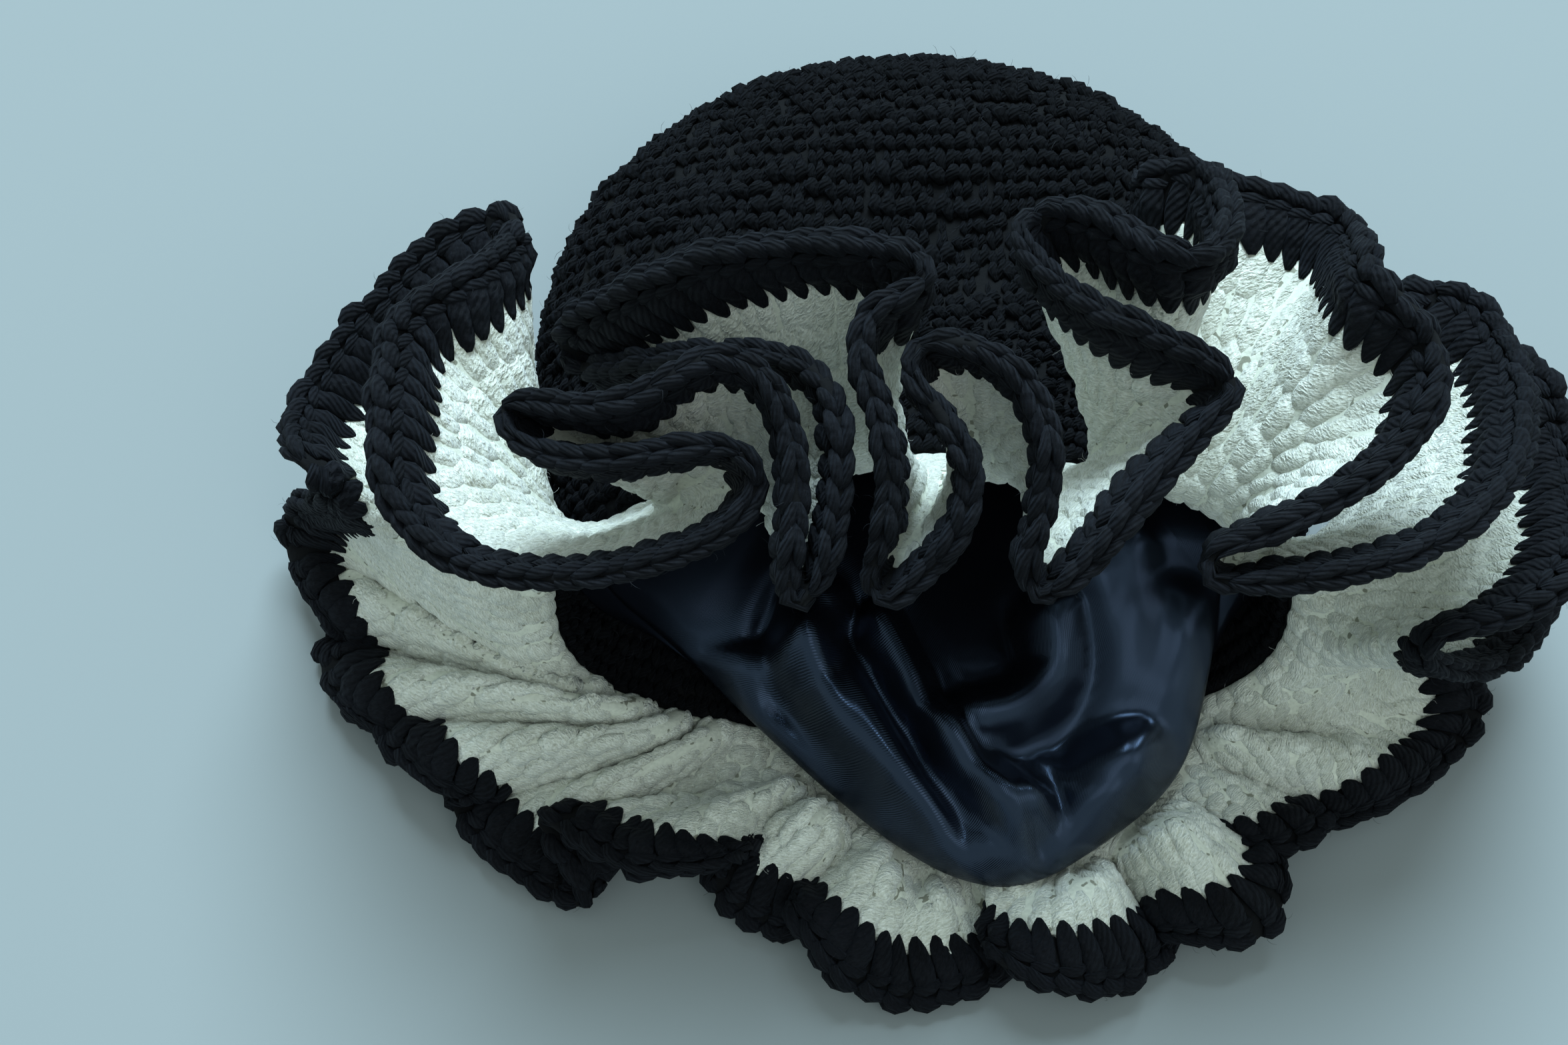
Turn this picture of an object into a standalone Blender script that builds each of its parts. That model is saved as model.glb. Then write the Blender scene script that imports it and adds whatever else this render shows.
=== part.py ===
# A crocheted bucket hat that lies on its side: a black crown, a white ruffled brim, its black edging
# and a thin satin lining that spills out of the mouth. Metres, +Z up, mouth towards -Y.
import math

import bmesh
import bpy
import numpy as np
from mathutils import Matrix, Vector

# Mouth of the hat, as it lies flattened
mouth_half_width = 0.121
mouth_height = 0.108
mouth_setback = 0.056

# Crown
crown_half_width = 0.125
crown_height = 0.112
crown_depth = 0.203
shoulder_depth = 0.085
crown_tip_height = 0.050
crown_wall = 0.0055
crown_settle = 0.0015
dent_depth = 0.020
dent_half_width = 0.070
dent_half_length = 0.042
dent_distance = 0.105
dent_fade = 0.046
underside_flatness = 0.78
closing_side_power = 0.95
closing_floor_power = 0.55

# Brim and its edging
brim_length = 0.097
brim_wall = 0.0042
edging_width = 0.017
edging_thickness = 0.0074
fold_softening = 0.110
fold_room = 0.70
fold_leave = 0.62
fold_arrive = 0.95
rim_flare = 0.35
rim_lift = 0.55
edging_bulge = 0.62
edging_tip = 0.70
least_rise = 0.05
view_elevation = math.radians(66)

# Lining: it is sewn a little way inside the mouth, and its front is pulled out over the brim
lining_wall = 0.0012
lining_clearance = 0.0010
seam_depth = 0.020
pocket_depth = 0.105
pocket_floor = 0.016
spill_half_width = 0.082
spill_length = 0.088
spill_rise = 0.066
spill_thickness = 0.009
spill_crest = 0.010
spill_ends = 0.26
ground_reach = 0.011
loop_height = 0.026
loop_across = 0.060
loop_back = 0.012
loop_half_width = 0.020
loop_half_length = 0.026

piece_gap = 0.0003

# Grid counts
mouth_facets = 44
barrel_rings = 4
dome_rings = 7
edge_samples = 1500
edge_facets = 214
brim_rows = 5
brim_row_crowding = 1.15
row_softening = (0, 6, 8, 6, 4, 2, 2, 2, 2)
root_softening = 0.008
turn_softening = 0.0015
straight_facet = 0.034
facet_turn = math.radians(38)
lining_over = 14
lining_under = 26

# Directions of the standing ruffle: it faces a person who looks down into the mouth
across_axis = np.array((1.0, 0.0, 0.0))
back_axis = np.array((0.0, math.sin(view_elevation), math.cos(view_elevation)))
out_axis = np.array((0.0, -math.cos(view_elevation), math.sin(view_elevation)))

# Reach of the ruffle from the middle of the mouth, standing above and lying below
ruffle_reach = mouth_half_width + 0.60 * brim_length
skirt_reach = mouth_half_width + 0.81 * brim_length

# Share of the mouth, counted from its left end over the top, where the standing ruffle starts and ends
ruffle_start = 0.015
ruffle_end = 0.535

# Standing ruffle. A row for each fold: name, straight reach and extra lift as shares of the brim's
# length, and the middle of the edging at its turns, across and back from the top of the mouth, as
# shares of ruffle_reach
standing_folds = (
    ("left flap root", 0.95, 0.0, ((-1.0, -0.03),)),
    ("left flap outside", 1.0, 0.0, ((-1.055, -0.012), (-1.078, 0.045), (-1.062, 0.09),
                                     (-1.05, 0.139), (-1.026, 0.194), (-0.986, 0.242),
                                     (-0.929, 0.286), (-0.865, 0.327), (-0.812, 0.364),
                                     (-0.752, 0.412), (-0.692, 0.39))),
    ("left flap inside", 0.98, 0.0, ((-0.695, 0.325), (-0.742, 0.272), (-0.808, 0.236),
                                     (-0.865, 0.212), (-0.876, 0.162), (-0.864, 0.111),
                                     (-0.85, 0.076), (-0.861, 0.037), (-0.876, 0.004))),
    ("left front", 0.97, 0.0, ((-0.857, -0.039), (-0.85, -0.074), (-0.837, -0.12),
                               (-0.81, -0.168), (-0.771, -0.201), (-0.729, -0.217),
                               (-0.647, -0.213), (-0.581, -0.21), (-0.515, -0.201),
                               (-0.451, -0.185), (-0.385, -0.165), (-0.33, -0.147),
                               (-0.289, -0.12), (-0.277, -0.08), (-0.284, -0.029),
                               (-0.308, 0.01), (-0.346, 0.028))),
    ("left second", 0.97, 0.0, ((-0.39, 0.012), (-0.442, -0.027), (-0.491, -0.052),
                                (-0.552, -0.054), (-0.616, -0.03), (-0.662, 0.0),
                                (-0.684, 0.036), (-0.67, 0.07))),
    ("first arch", 0.97, 0.0, ((-0.63, 0.08), (-0.598, 0.07), (-0.564, 0.05), (-0.517, 0.024),
                               (-0.469, 0.03), (-0.434, 0.061), (-0.419, 0.099), (-0.389, 0.134),
                               (-0.341, 0.153), (-0.29, 0.141), (-0.253, 0.102), (-0.222, 0.052),
                               (-0.21, -0.008), (-0.22, -0.081), (-0.242, -0.145),
                               (-0.268, -0.192))),
    ("behind first arch", 0.97, 0.0, ((-0.268, -0.236), (-0.228, -0.243), (-0.192, -0.185),
                                      (-0.168, -0.111), (-0.156, -0.046), (-0.16, 0.019),
                                      (-0.182, 0.078))),
    ("hidden run", 0.75, 0.0, ((-0.218, 0.124), (-0.284, 0.144), (-0.364, 0.15), (-0.444, 0.137),
                               (-0.505, 0.118), (-0.555, 0.12))),
    ("back loop turn", 0.84, 0.0, ((-0.6, 0.15), (-0.594, 0.19))),
    ("back loop", 0.97, 0.0, ((-0.55, 0.212), (-0.506, 0.226), (-0.464, 0.246), (-0.414, 0.277),
                              (-0.364, 0.295), (-0.277, 0.306), (-0.177, 0.311), (-0.09, 0.3),
                              (-0.036, 0.274), (-0.016, 0.244), (-0.029, 0.217))),
    ("back loop return", 0.97, 0.0, ((-0.065, 0.204), (-0.112, 0.202), (-0.148, 0.188),
                                     (-0.17, 0.16), (-0.164, 0.128))),
    ("middle down", 0.97, 0.0, ((-0.136, 0.096), (-0.106, 0.061), (-0.08, 0.014),
                                (-0.062, -0.033), (-0.067, -0.083), (-0.095, -0.133),
                                (-0.128, -0.172), (-0.138, -0.21), (-0.104, -0.235))),
    ("middle up", 0.97, 0.0, ((-0.054, -0.206), (-0.004, -0.166), (0.036, -0.124),
                              (0.058, -0.076), (0.054, -0.019), (0.021, 0.019), (-0.021, 0.047),
                              (-0.064, 0.074), (-0.092, 0.105), (-0.084, 0.14))),
    ("second arch", 0.97, 0.0, ((-0.046, 0.159), (0.006, 0.165), (0.061, 0.159), (0.106, 0.134),
                                (0.138, 0.089), (0.161, 0.039), (0.171, -0.011), (0.156, -0.061),
                                (0.126, -0.104), (0.096, -0.151), (0.082, -0.198),
                                (0.111, -0.229))),
    ("curled end", 0.95, 0.0, ((0.156, -0.216), (0.201, -0.171), (0.241, -0.121), (0.256, -0.066),
                               (0.281, -0.016), (0.344, 0.022), (0.395, 0.045), (0.422, 0.08))),
    ("right slope", 0.97, 0.0, ((0.402, 0.115), (0.366, 0.131), (0.32, 0.138), (0.266, 0.152),
                                (0.216, 0.169), (0.168, 0.194), (0.136, 0.226), (0.111, 0.261),
                                (0.104, 0.296), (0.118, 0.329))),
    ("ring", 1.0, 0.03, ((0.158, 0.355), (0.203, 0.359), (0.246, 0.348), (0.272, 0.325),
                         (0.284, 0.288), (0.305, 0.25), (0.337, 0.231), (0.373, 0.232),
                         (0.412, 0.257), (0.442, 0.295), (0.455, 0.34), (0.462, 0.39),
                         (0.44, 0.426), (0.407, 0.438), (0.37, 0.43))),
    ("under ring", 0.9, -0.12, ((0.34, 0.42), (0.373, 0.435), (0.428, 0.445), (0.483, 0.435))),
    ("right top", 1.0, -0.04, ((0.533, 0.42), (0.573, 0.41), (0.614, 0.396), (0.657, 0.382),
                               (0.692, 0.355))),
    ("right notch", 1.0, 0.0, ((0.669, 0.313), (0.635, 0.284), (0.623, 0.249), (0.645, 0.217),
                               (0.69, 0.206), (0.736, 0.183), (0.757, 0.135), (0.755, 0.076),
                               (0.733, 0.012), (0.664, -0.051), (0.591, -0.092), (0.51, -0.117),
                               (0.444, -0.134), (0.391, -0.145), (0.352, -0.168))),
    ("right petal", 1.0, 0.0, ((0.38, -0.204), (0.44, -0.212), (0.525, -0.196), (0.621, -0.188),
                               (0.719, -0.18), (0.806, -0.148), (0.865, -0.09), (0.899, -0.023),
                               (0.934, 0.048), (0.95, 0.119), (0.952, 0.185), (0.938, 0.235),
                               (0.9, 0.265), (0.855, 0.262))),
    ("petal tip", 1.0, -0.12, ((0.825, 0.25),)),
    ("under petal", 1.0, -0.25, ((0.85, 0.275), (0.91, 0.3), (0.965, 0.285), (1.005, 0.235),
                                 (1.025, 0.175))),
    ("outer petal", 1.0, 0.0, ((1.04, 0.133), (1.074, 0.09), (1.087, 0.033), (1.089, -0.024),
                               (1.078, -0.087), (1.055, -0.138), (1.029, -0.178))),
    ("outer petal side", 0.95, 0.0, ((0.99, -0.216), (0.942, -0.25))),
    ("outer petal end", 0.88, 0.0, ((0.884, -0.27), (0.832, -0.278))),
    ("petal fold", 0.78, 0.0, ((0.782, -0.286), (0.766, -0.314))),
    ("last petal", 0.62, 0.0, ((0.792, -0.342), (0.84, -0.36), (0.915, -0.37))),
    ("last petal corner", 0.76, 0.0, ((0.995, -0.362),)),
    ("last petal side", 0.85, -0.03, ((1.045, -0.33), (1.083, -0.285), (1.109, -0.232),
                                      (1.125, -0.18), (1.125, -0.12))),
)

# Lying part of the brim, right to left. A row for each lobe: name and the middle of the edging at its
# turns, across, forward of the mouth's middle and lifted off the table, as shares of skirt_reach
lying_folds = (
    ("right side", ((1.015, -0.15, 0.195), (0.99, -0.085, 0.155), (0.955, -0.03, 0.1),
                    (0.905, 0.01, 0.075))),
    ("lobe 1", ((0.865, 0.045, 0.065), (0.91, 0.07, 0.05), (0.925, 0.115, 0.04), (0.89, 0.175, 0.04),
                (0.81, 0.225, 0.055), (0.748, 0.24, 0.075), (0.712, 0.252, 0.062))),
    ("lobe 2", ((0.692, 0.282, 0.04), (0.66, 0.32, 0.012), (0.61, 0.34, 0.045), (0.57, 0.34, 0.075),
                (0.54, 0.35, 0.065))),
    ("lobe 3", ((0.55, 0.4, 0.035), (0.56, 0.445, 0.012), (0.52, 0.48, 0.04), (0.465, 0.475, 0.07),
                (0.435, 0.46, 0.06))),
    ("lobe 4", ((0.405, 0.47, 0.012), (0.355, 0.495, 0.012))),
    ("lobe 5", ((0.31, 0.52, 0.06), (0.26, 0.555, 0.05), (0.205, 0.57, 0.05), (0.16, 0.555, 0.08),
                (0.13, 0.525, 0.06))),
    ("lobe 6", ((0.095, 0.54, 0.012), (0.03, 0.56, 0.012), (-0.045, 0.565, 0.012), (-0.11, 0.55, 0.045),
                (-0.16, 0.505, 0.08), (-0.19, 0.47, 0.065))),
    ("lobe 7", ((-0.23, 0.47, 0.012), (-0.27, 0.435, 0.012))),
    ("lobe 8", ((-0.305, 0.405, 0.075), (-0.355, 0.43, 0.11), (-0.415, 0.42, 0.14),
                (-0.49, 0.37, 0.155), (-0.55, 0.32, 0.155), (-0.59, 0.285, 0.145))),
    ("lobe 9", ((-0.595, 0.285, 0.11), (-0.562, 0.325, 0.095), (-0.51, 0.372, 0.08),
                (-0.485, 0.41, 0.05), (-0.55, 0.425, 0.021), (-0.62, 0.378, 0.021),
                (-0.69, 0.315, 0.021),
                (-0.74, 0.265, 0.04))),
    ("lobe 10", ((-0.775, 0.238, 0.06), (-0.815, 0.235, 0.07), (-0.848, 0.205, 0.078),
                 (-0.865, 0.16, 0.078), (-0.878, 0.125, 0.06))),
    ("lobe 11", ((-0.9, 0.105, 0.04), (-0.94, 0.095, 0.012), (-0.97, 0.055, 0.012),
                 (-0.985, 0.005, 0.04), (-0.975, -0.045, 0.065))),
    ("lobe 12", ((-0.98, -0.075, 0.05), (-1.015, -0.11, 0.04), (-1.045, -0.155, 0.05),
                 (-1.055, -0.2, 0.07), (-1.045, -0.235, 0.11), (-1.012, -0.23, 0.17),
                 (-0.962, -0.175, 0.245), (-0.925, -0.115, 0.32), (-0.885, -0.07, 0.41),
                 (-0.858, -0.05, 0.51))),
)

# Hem of the spilled lining, right to left. A row for each part: name, share of the lower half of the
# mouth, across as a share of spill_half_width, forward of spill_length and lifted of spill_rise
hem_folds = (
    ("right end", 0.00, 1.14, -0.12, 0.66),
    ("beside the loop", 0.06, 1.16, -0.03, 0.62),
    ("loop foot", 0.11, 1.15, 0.08, 0.58),
    ("right corner", 0.16, 1.12, 0.18, 0.52),
    ("right side", 0.25, 1.09, 0.37, 0.36),
    ("right front", 0.33, 1.01, 0.56, 0.28),
    ("front dip", 0.42, 0.80, 0.73, 0.25),
    ("beside the tip", 0.49, 0.52, 0.89, 0.22),
    ("tip", 0.55, 0.33, 1.00, 0.20),
    ("past the tip", 0.59, 0.07, 0.94, 0.20),
    ("left front", 0.63, -0.22, 0.73, 0.20),
    ("left side", 0.67, -0.44, 0.48, 0.22),
    ("left fold", 0.72, -0.73, 0.27, 0.23),
    ("left corner", 0.77, -0.88, 0.09, 0.27),
    ("left rim", 0.86, -1.05, -0.03, 0.38),
    ("left end", 1.00, -1.28, -0.15, 0.62),
)

# Way of the lining from its seam to the bottom of its pocket. A row for each step: name; for the
# spilled part the share of the way from seam to hem, from hem to pocket, and the rise as shares of
# spill_thickness and spill_crest; for the part left inside its depth step and share of the way down
lining_steps = (
    ("seam", 0.00, 0.0, 0.00, 0.0, 0.00, 0.00),
    ("lip", 0.30, 0.0, 0.00, 0.0, 0.12, 0.00),
    ("under side", 0.62, 0.0, 0.00, 0.0, 0.24, 0.00),
    ("under hem", 0.90, 0.0, 0.00, 0.0, 0.36, 0.00),
    ("hem", 1.00, 0.0, 0.40, 0.0, 0.48, 0.00),
    ("over hem", 1.00, 0.045, 1.00, 0.1, 0.60, 0.00),
    ("front slope", 1.00, 0.15, 1.15, 0.6, 0.72, 0.00),
    ("crest", 1.00, 0.27, 1.25, 0.9, 0.84, 0.00),
    ("behind the crest", 1.00, 0.39, 1.25, 1.0, 0.96, 0.00),
    ("back slope", 1.00, 0.51, 1.20, 0.8, 1.06, 0.08),
    ("over the lip", 1.00, 0.63, 1.10, 0.5, 1.12, 0.22),
    ("inside the mouth", 1.00, 0.75, 0.90, 0.2, 1.16, 0.42),
    ("pocket floor", 1.00, 0.86, 0.70, 0.05, 1.18, 0.64),
    ("pocket back", 1.00, 0.95, 0.50, 0.0, 1.18, 0.85),
)

# Ridges of the spilled lining: name, share of the lower half of the mouth, width and height as a
# share of spill_crest
spill_ridges = (
    ("left ridge", 0.69, 0.040, 0.7),
    ("middle ridge", 0.57, 0.045, 0.8),
    ("right roll", 0.34, 0.080, 0.5),
)


def smooth_step(share):
    share = min(max(share, 0.0), 1.0)
    return share * share * (3 - 2 * share)


def section_point(angle, half_width, half_height):
    """A point of a flattened oval; angle 0 is its left end and a quarter turn is its top."""
    rise = math.sin(angle)
    flatness = underside_flatness if rise < 0 else 1.0
    return -half_width * math.cos(angle), half_height * math.copysign(abs(rise) ** flatness, rise)


def even_angles(count):
    """Angles that walk round the mouth in steps of equal length."""
    fine = np.linspace(0, 2 * math.pi, 1441)
    points = np.array([section_point(a, mouth_half_width, mouth_height / 2) for a in fine])
    steps = np.hypot(*np.diff(points, axis=0).T)
    walked = np.concatenate(([0], np.cumsum(steps))) / steps.sum()
    return np.interp(np.arange(count) / count, walked, fine)


def angle_at(shares):
    """The oval's angle at shares of the way round the mouth."""
    table = np.append(even_angles(720), 2 * math.pi)
    return np.interp(np.mod(shares, 1.0), np.linspace(0, 1, 721), table)


def crown_point(angle, depth_step):
    """Outer surface of the crown; depth_step 0 is the mouth, 1 the shoulder and 2 the tip."""
    barrel = min(depth_step, 1.0)
    close = max(depth_step - 1.0, 0.0) * math.pi / 2
    spread = smooth_step(barrel)
    half_width = mouth_half_width + (crown_half_width - mouth_half_width) * spread
    height = mouth_height + (crown_height - mouth_height) * spread
    x, z = section_point(angle, half_width, height / 2)
    y = shoulder_depth * barrel + mouth_setback * z / height * (1 - spread)
    z += height / 2
    if close > 0:
        shrink = math.cos(close)
        x *= shrink ** closing_side_power
        y += (crown_depth - shoulder_depth) * math.sin(close)
        keep = shrink if z > crown_tip_height else shrink ** closing_floor_power
        z = crown_tip_height + (z - crown_tip_height) * keep
    if z > crown_tip_height:
        away = (x / dent_half_width) ** 2 + ((y - dent_distance) / dent_half_length) ** 2
        top_share = smooth_step((z - crown_tip_height) / dent_fade)
        z -= dent_depth * math.exp(-away) * top_share
    return np.array((x, y, max(z - crown_settle, 0.0)))


def crown_surface(angle, depth_step, inset):
    """A point of the crown's wall, inset from its outer surface."""
    here = crown_point(angle, depth_step)
    if depth_step >= 2:
        return here - np.array((0, inset, 0))
    small = 0.01
    low = max(depth_step - small, 0.0)
    along = crown_point(angle, depth_step + small) - crown_point(angle, low)
    around = crown_point(angle + small, depth_step) - crown_point(angle - small, depth_step)
    normal = np.cross(around, along)
    return here - inset * normal / np.linalg.norm(normal)


def rim_line(shares):
    """The middle of the crown's wall round the mouth, where the brim is worked on."""
    return np.array([crown_surface(a, 0.0, crown_wall / 2) for a in angle_at(shares)])


def rim_inward(shares):
    """Across the crown's wall at the mouth, from its outer to its inner surface."""
    walls = [[crown_surface(a, 0.0, inset) for a in angle_at(shares)] for inset in (0.0, crown_wall)]
    return (np.array(walls[1]) - np.array(walls[0])) / crown_wall


def rim_direction(shares):
    """The way the crown's wall points as it leaves the mouth: forward, and a little up at the top."""
    lift = 0.5 + 0.5 * np.sin(angle_at(shares))
    flare = -rim_flare * np.cos(angle_at(shares))
    way = np.stack((flare, -np.ones_like(lift), rim_lift * lift), axis=1)
    return way / np.linalg.norm(way, axis=1, keepdims=True)


def closed_spline(points, count):
    """Evenly spaced points on a smooth closed curve through the given ones."""
    size = len(points)
    gaps = np.linalg.norm(np.roll(points, -1, axis=0) - points, axis=1) ** 0.5
    fine = []
    for i in range(size):
        p = [points[(i + k) % size] for k in (-1, 0, 1, 2)]
        d = [gaps[(i + k) % size] for k in (-1, 0, 1)]
        start = d[1] * ((p[1] - p[0]) / d[0] - (p[2] - p[0]) / (d[0] + d[1]) + (p[2] - p[1]) / d[1])
        end = d[1] * ((p[2] - p[1]) / d[1] - (p[3] - p[1]) / (d[1] + d[2]) + (p[3] - p[2]) / d[2])
        for t in np.linspace(0, 1, 24, endpoint=False):
            fine.append((2 * t**3 - 3 * t**2 + 1) * p[1] + (t**3 - 2 * t**2 + t) * start
                        + (3 * t**2 - 2 * t**3) * p[2] + (t**3 - t**2) * end)
    fine = np.array(fine + [fine[0]])
    walked = np.concatenate(([0], np.cumsum(np.linalg.norm(np.diff(fine, axis=0), axis=1))))
    places = np.arange(count) * walked[-1] / count
    return np.stack([np.interp(places, walked, fine[:, k]) for k in range(fine.shape[1])], axis=1)


def walk_shares(flat_points):
    """How far along a chain of points each one lies, from 0 to 1."""
    steps = np.linalg.norm(np.diff(flat_points, axis=0), axis=1)
    return np.concatenate(([0], np.cumsum(steps))) / steps.sum()


def edge_rows():
    """The middle of the edging at each turn, with the share of the mouth that it grows from."""
    top = rim_line(np.array([0.25]))[0]
    middle_length = brim_length - edging_width / 2
    flat = []
    reach = []
    for _, share, lift, turns in standing_folds:
        for across, back in turns:
            flat.append((across * ruffle_reach, back * ruffle_reach))
            reach.append((share * middle_length, lift * brim_length))
    flat = np.array(flat)
    rounds = ruffle_start + (ruffle_end - ruffle_start) * walk_shares(flat)
    roots = rim_line(rounds)
    standing = []
    for (across, back), (length, lift), root in zip(flat, reach, roots):
        offset = root - top
        flat_gap = math.hypot(across - offset @ across_axis, back - offset @ back_axis)
        rise = math.sqrt(max(length**2 - flat_gap**2, (least_rise * brim_length) ** 2))
        place = top + across * across_axis + back * back_axis
        standing.append(place + (offset @ out_axis + rise + lift) * out_axis)
    lying = []
    for _, turns in lying_folds:
        for across, forward, lift in turns:
            lying.append((across * skirt_reach, -forward * skirt_reach, lift * skirt_reach))
    walked = walk_shares(np.array([standing[-1], *lying, standing[0]]))[1:-1]
    under = ruffle_end + (1 + ruffle_start - ruffle_end) * walked
    return np.array(standing + lying), np.concatenate((rounds, under))


def soften(values, spread):
    """Values round a closed line, averaged over a spread given as a share of the whole way round."""
    waves = np.fft.rfftfreq(len(values), 1 / len(values))
    fade = np.exp(-0.5 * (2 * math.pi * waves * spread) ** 2)
    return np.fft.irfft(np.fft.rfft(values, axis=0) * fade[:, None], len(values), axis=0)


class Ruffle:
    """The brim's middle surface: once round along the edge, and from the rim out to the edge."""

    def __init__(self):
        rows, rounds = edge_rows()
        drift = rounds - walk_shares(np.concatenate((rows, rows[:1])))[:-1]
        line = closed_spline(np.column_stack((rows, drift)), edge_samples)
        self.edge = line[:, :3]
        self.rounds = soften(line[:, 3:], root_softening)[:, 0] + np.arange(edge_samples) / edge_samples
        self.length = np.linalg.norm(np.roll(self.edge, -1, axis=0) - self.edge, axis=1).sum()
        self.roots = rim_line(self.rounds)
        self.ways = rim_direction(self.rounds)
        self.roots = self.roots + self.ways * 2 * piece_gap
        self.middle = 1 - edging_width / 2 / brim_length
        seam = 1 - (edging_width + 2 * piece_gap) / brim_length
        shares = [seam * (k / brim_rows) ** brim_row_crowding for k in range(brim_rows + 1)]
        shares += [1 - width * edging_width / brim_length for width in (1.0, edging_bulge, 0.0)]
        picks = self.picks(edge_facets)
        self.grid = np.array([self.line_at(share)[picks] for share in shares])
        for row, passes in zip(self.grid, row_softening):
            round_off(row, passes)
        self.normals = surface_normals(self.grid)
        self.normals[0] = rim_inward(self.rounds[picks])
        self.normals[brim_rows + 1] = self.normals[brim_rows]
        cloud = grid_cloud(self.grid)
        most = edging_thickness / 2
        self.room = []
        for side in (1, -1):
            room = free_room(self.grid, side * self.normals, cloud, most)
            self.room.append(ease(self.grid, room))

    def line_at(self, share):
        """The closed line at a share of the way from the rim to the outer edge."""
        t = share / self.middle
        spread = fold_softening * max(1 - t, 0.0) ** 2.5 / self.length
        gap = soften(self.edge - self.roots, spread)
        straight = gap / np.linalg.norm(gap, axis=1, keepdims=True)
        if t > 1:
            return self.roots + gap + straight * (t - 1) * brim_length * self.middle
        leave = (t**3 - 2 * t**2 + t) * fold_leave * brim_length
        arrive = (t**3 - t**2) * fold_arrive
        return self.roots + leave * self.ways + (3 * t**2 - 2 * t**3 + arrive) * gap

    def picks(self, count):
        """Sample numbers along the edge, closer together where it turns."""
        step = np.roll(self.edge, -1, axis=0) - self.edge
        length = np.linalg.norm(step, axis=1)
        way = step / length[:, None]
        turn = np.arccos(np.clip((way * np.roll(way, 1, axis=0)).sum(axis=1), -1, 1))
        weight = length / straight_facet + soften(turn[:, None], turn_softening)[:, 0] / facet_turn
        walked = np.concatenate(([0], np.cumsum(weight)))
        places = np.arange(count) * walked[-1] / count
        return np.unique(np.interp(places, walked, np.arange(edge_samples + 1)).astype(int))


def round_off(line, passes):
    """Softens the corners of a closed line in place."""
    for _ in range(passes):
        line[:] = line / 2 + (np.roll(line, 1, axis=0) + np.roll(line, -1, axis=0)) / 4


def surface_normals(lines):
    """Unit normals of a surface given as closed lines, one after another outwards."""
    around = np.roll(lines, -1, axis=1) - np.roll(lines, 1, axis=1)
    outward = np.gradient(lines, axis=0)
    normal = np.cross(around, outward)
    return normal / np.linalg.norm(normal, axis=2, keepdims=True)


def grid_cloud(grid):
    """Points spread over the facets of a surface given as closed lines."""
    beside = np.roll(grid, -1, axis=1)
    points = []
    for across in (0.0, 0.25, 0.5, 0.75):
        line = grid * (1 - across) + beside * across
        for out in (0.0, 0.2, 0.4, 0.6, 0.8, 1.0):
            points.append((line[:-1] * (1 - out) + line[1:] * out).reshape(-1, 3))
    return np.concatenate(points)


def free_room(grid, normals, cloud, most):
    """How far each point can move along its normal before it meets the cloth around it, up to most."""
    room = np.full(grid.shape[:2], most)
    for place in np.ndindex(room.shape):
        away = cloud - grid[place]
        square = (away**2).sum(axis=1)
        near = square < (2.5 * most) ** 2
        ahead = away[near] @ normals[place]
        facing = ahead > 1e-6
        if facing.any():
            limit = (square[near][facing] / (2 * ahead[facing])).min()
            room[place] = min(most, fold_room * limit)
    return room


def ease(grid, room):
    """Room that changes only gently from one point of a surface to the next."""
    for _ in range(6):
        for axis, shift in ((1, 1), (1, -1)):
            gap = np.linalg.norm(np.roll(grid, shift, axis=axis) - grid, axis=2)
            room = np.minimum(room, np.roll(room, shift, axis=axis) + 0.5 * gap)
        gap = np.linalg.norm(np.diff(grid, axis=0), axis=2)
        room[1:] = np.minimum(room[1:], room[:-1] + 0.5 * gap)
        room[:-1] = np.minimum(room[:-1], room[1:] + 0.5 * gap)
    return room


def new_object(name, vertices, faces, colour, roughness):
    """A smooth-shaded object with its own material."""
    mesh = bpy.data.meshes.new(name)
    mesh.from_pydata([tuple(v) for v in vertices], [], faces)
    build = bmesh.new()
    build.from_mesh(mesh)
    bmesh.ops.recalc_face_normals(build, faces=build.faces[:])
    build.to_mesh(mesh)
    build.free()
    mesh.shade_smooth()
    material = bpy.data.materials.new(name)
    material.use_nodes = True
    shader = material.node_tree.nodes["Principled BSDF"]
    shader.inputs["Base Color"].default_value = (*colour, 1.0)
    shader.inputs["Roughness"].default_value = roughness
    shader.inputs["Metallic"].default_value = 0.0
    mesh.materials.append(material)
    piece = bpy.data.objects.new(name, mesh)
    bpy.context.collection.objects.link(piece)
    return piece


def ring_faces(rings, closed_loop):
    """Triangles between successive rings of equal size; the ends join too if closed_loop."""
    count = len(rings[0])
    pairs = list(zip(rings, rings[1:]))
    if closed_loop:
        pairs.append((rings[0], rings[-1]))
    faces = []
    for low, high in pairs:
        for i in range(count):
            k = (i + 1) % count
            faces += [(low[i], low[k], high[k]), (low[i], high[k], high[i])]
    return faces


def make_crown():
    """A hollow flattened dome, its wall as thick as the crochet."""
    angles = even_angles(mouth_facets)
    steps = [i / barrel_rings for i in range(barrel_rings + 1)]
    steps += [1 + i / dome_rings for i in range(1, dome_rings)]
    vertices = []
    faces = []
    mouths = []
    for inset in (0.0, crown_wall):
        rings = []
        for step in steps:
            rings.append(range(len(vertices), len(vertices) + mouth_facets))
            vertices += [crown_surface(a, step, inset) for a in angles]
        faces += ring_faces(rings, False)
        mouths.append(rings[0])
        last = rings[-1]
        pole = len(vertices)
        vertices.append(crown_surface(0.0, 2.0, inset))
        faces += [(last[i], last[(i + 1) % mouth_facets], pole) for i in range(mouth_facets)]
    faces += ring_faces(mouths, False)
    return new_object("crown", vertices, faces, (0.012, 0.012, 0.014), 0.9)


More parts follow.
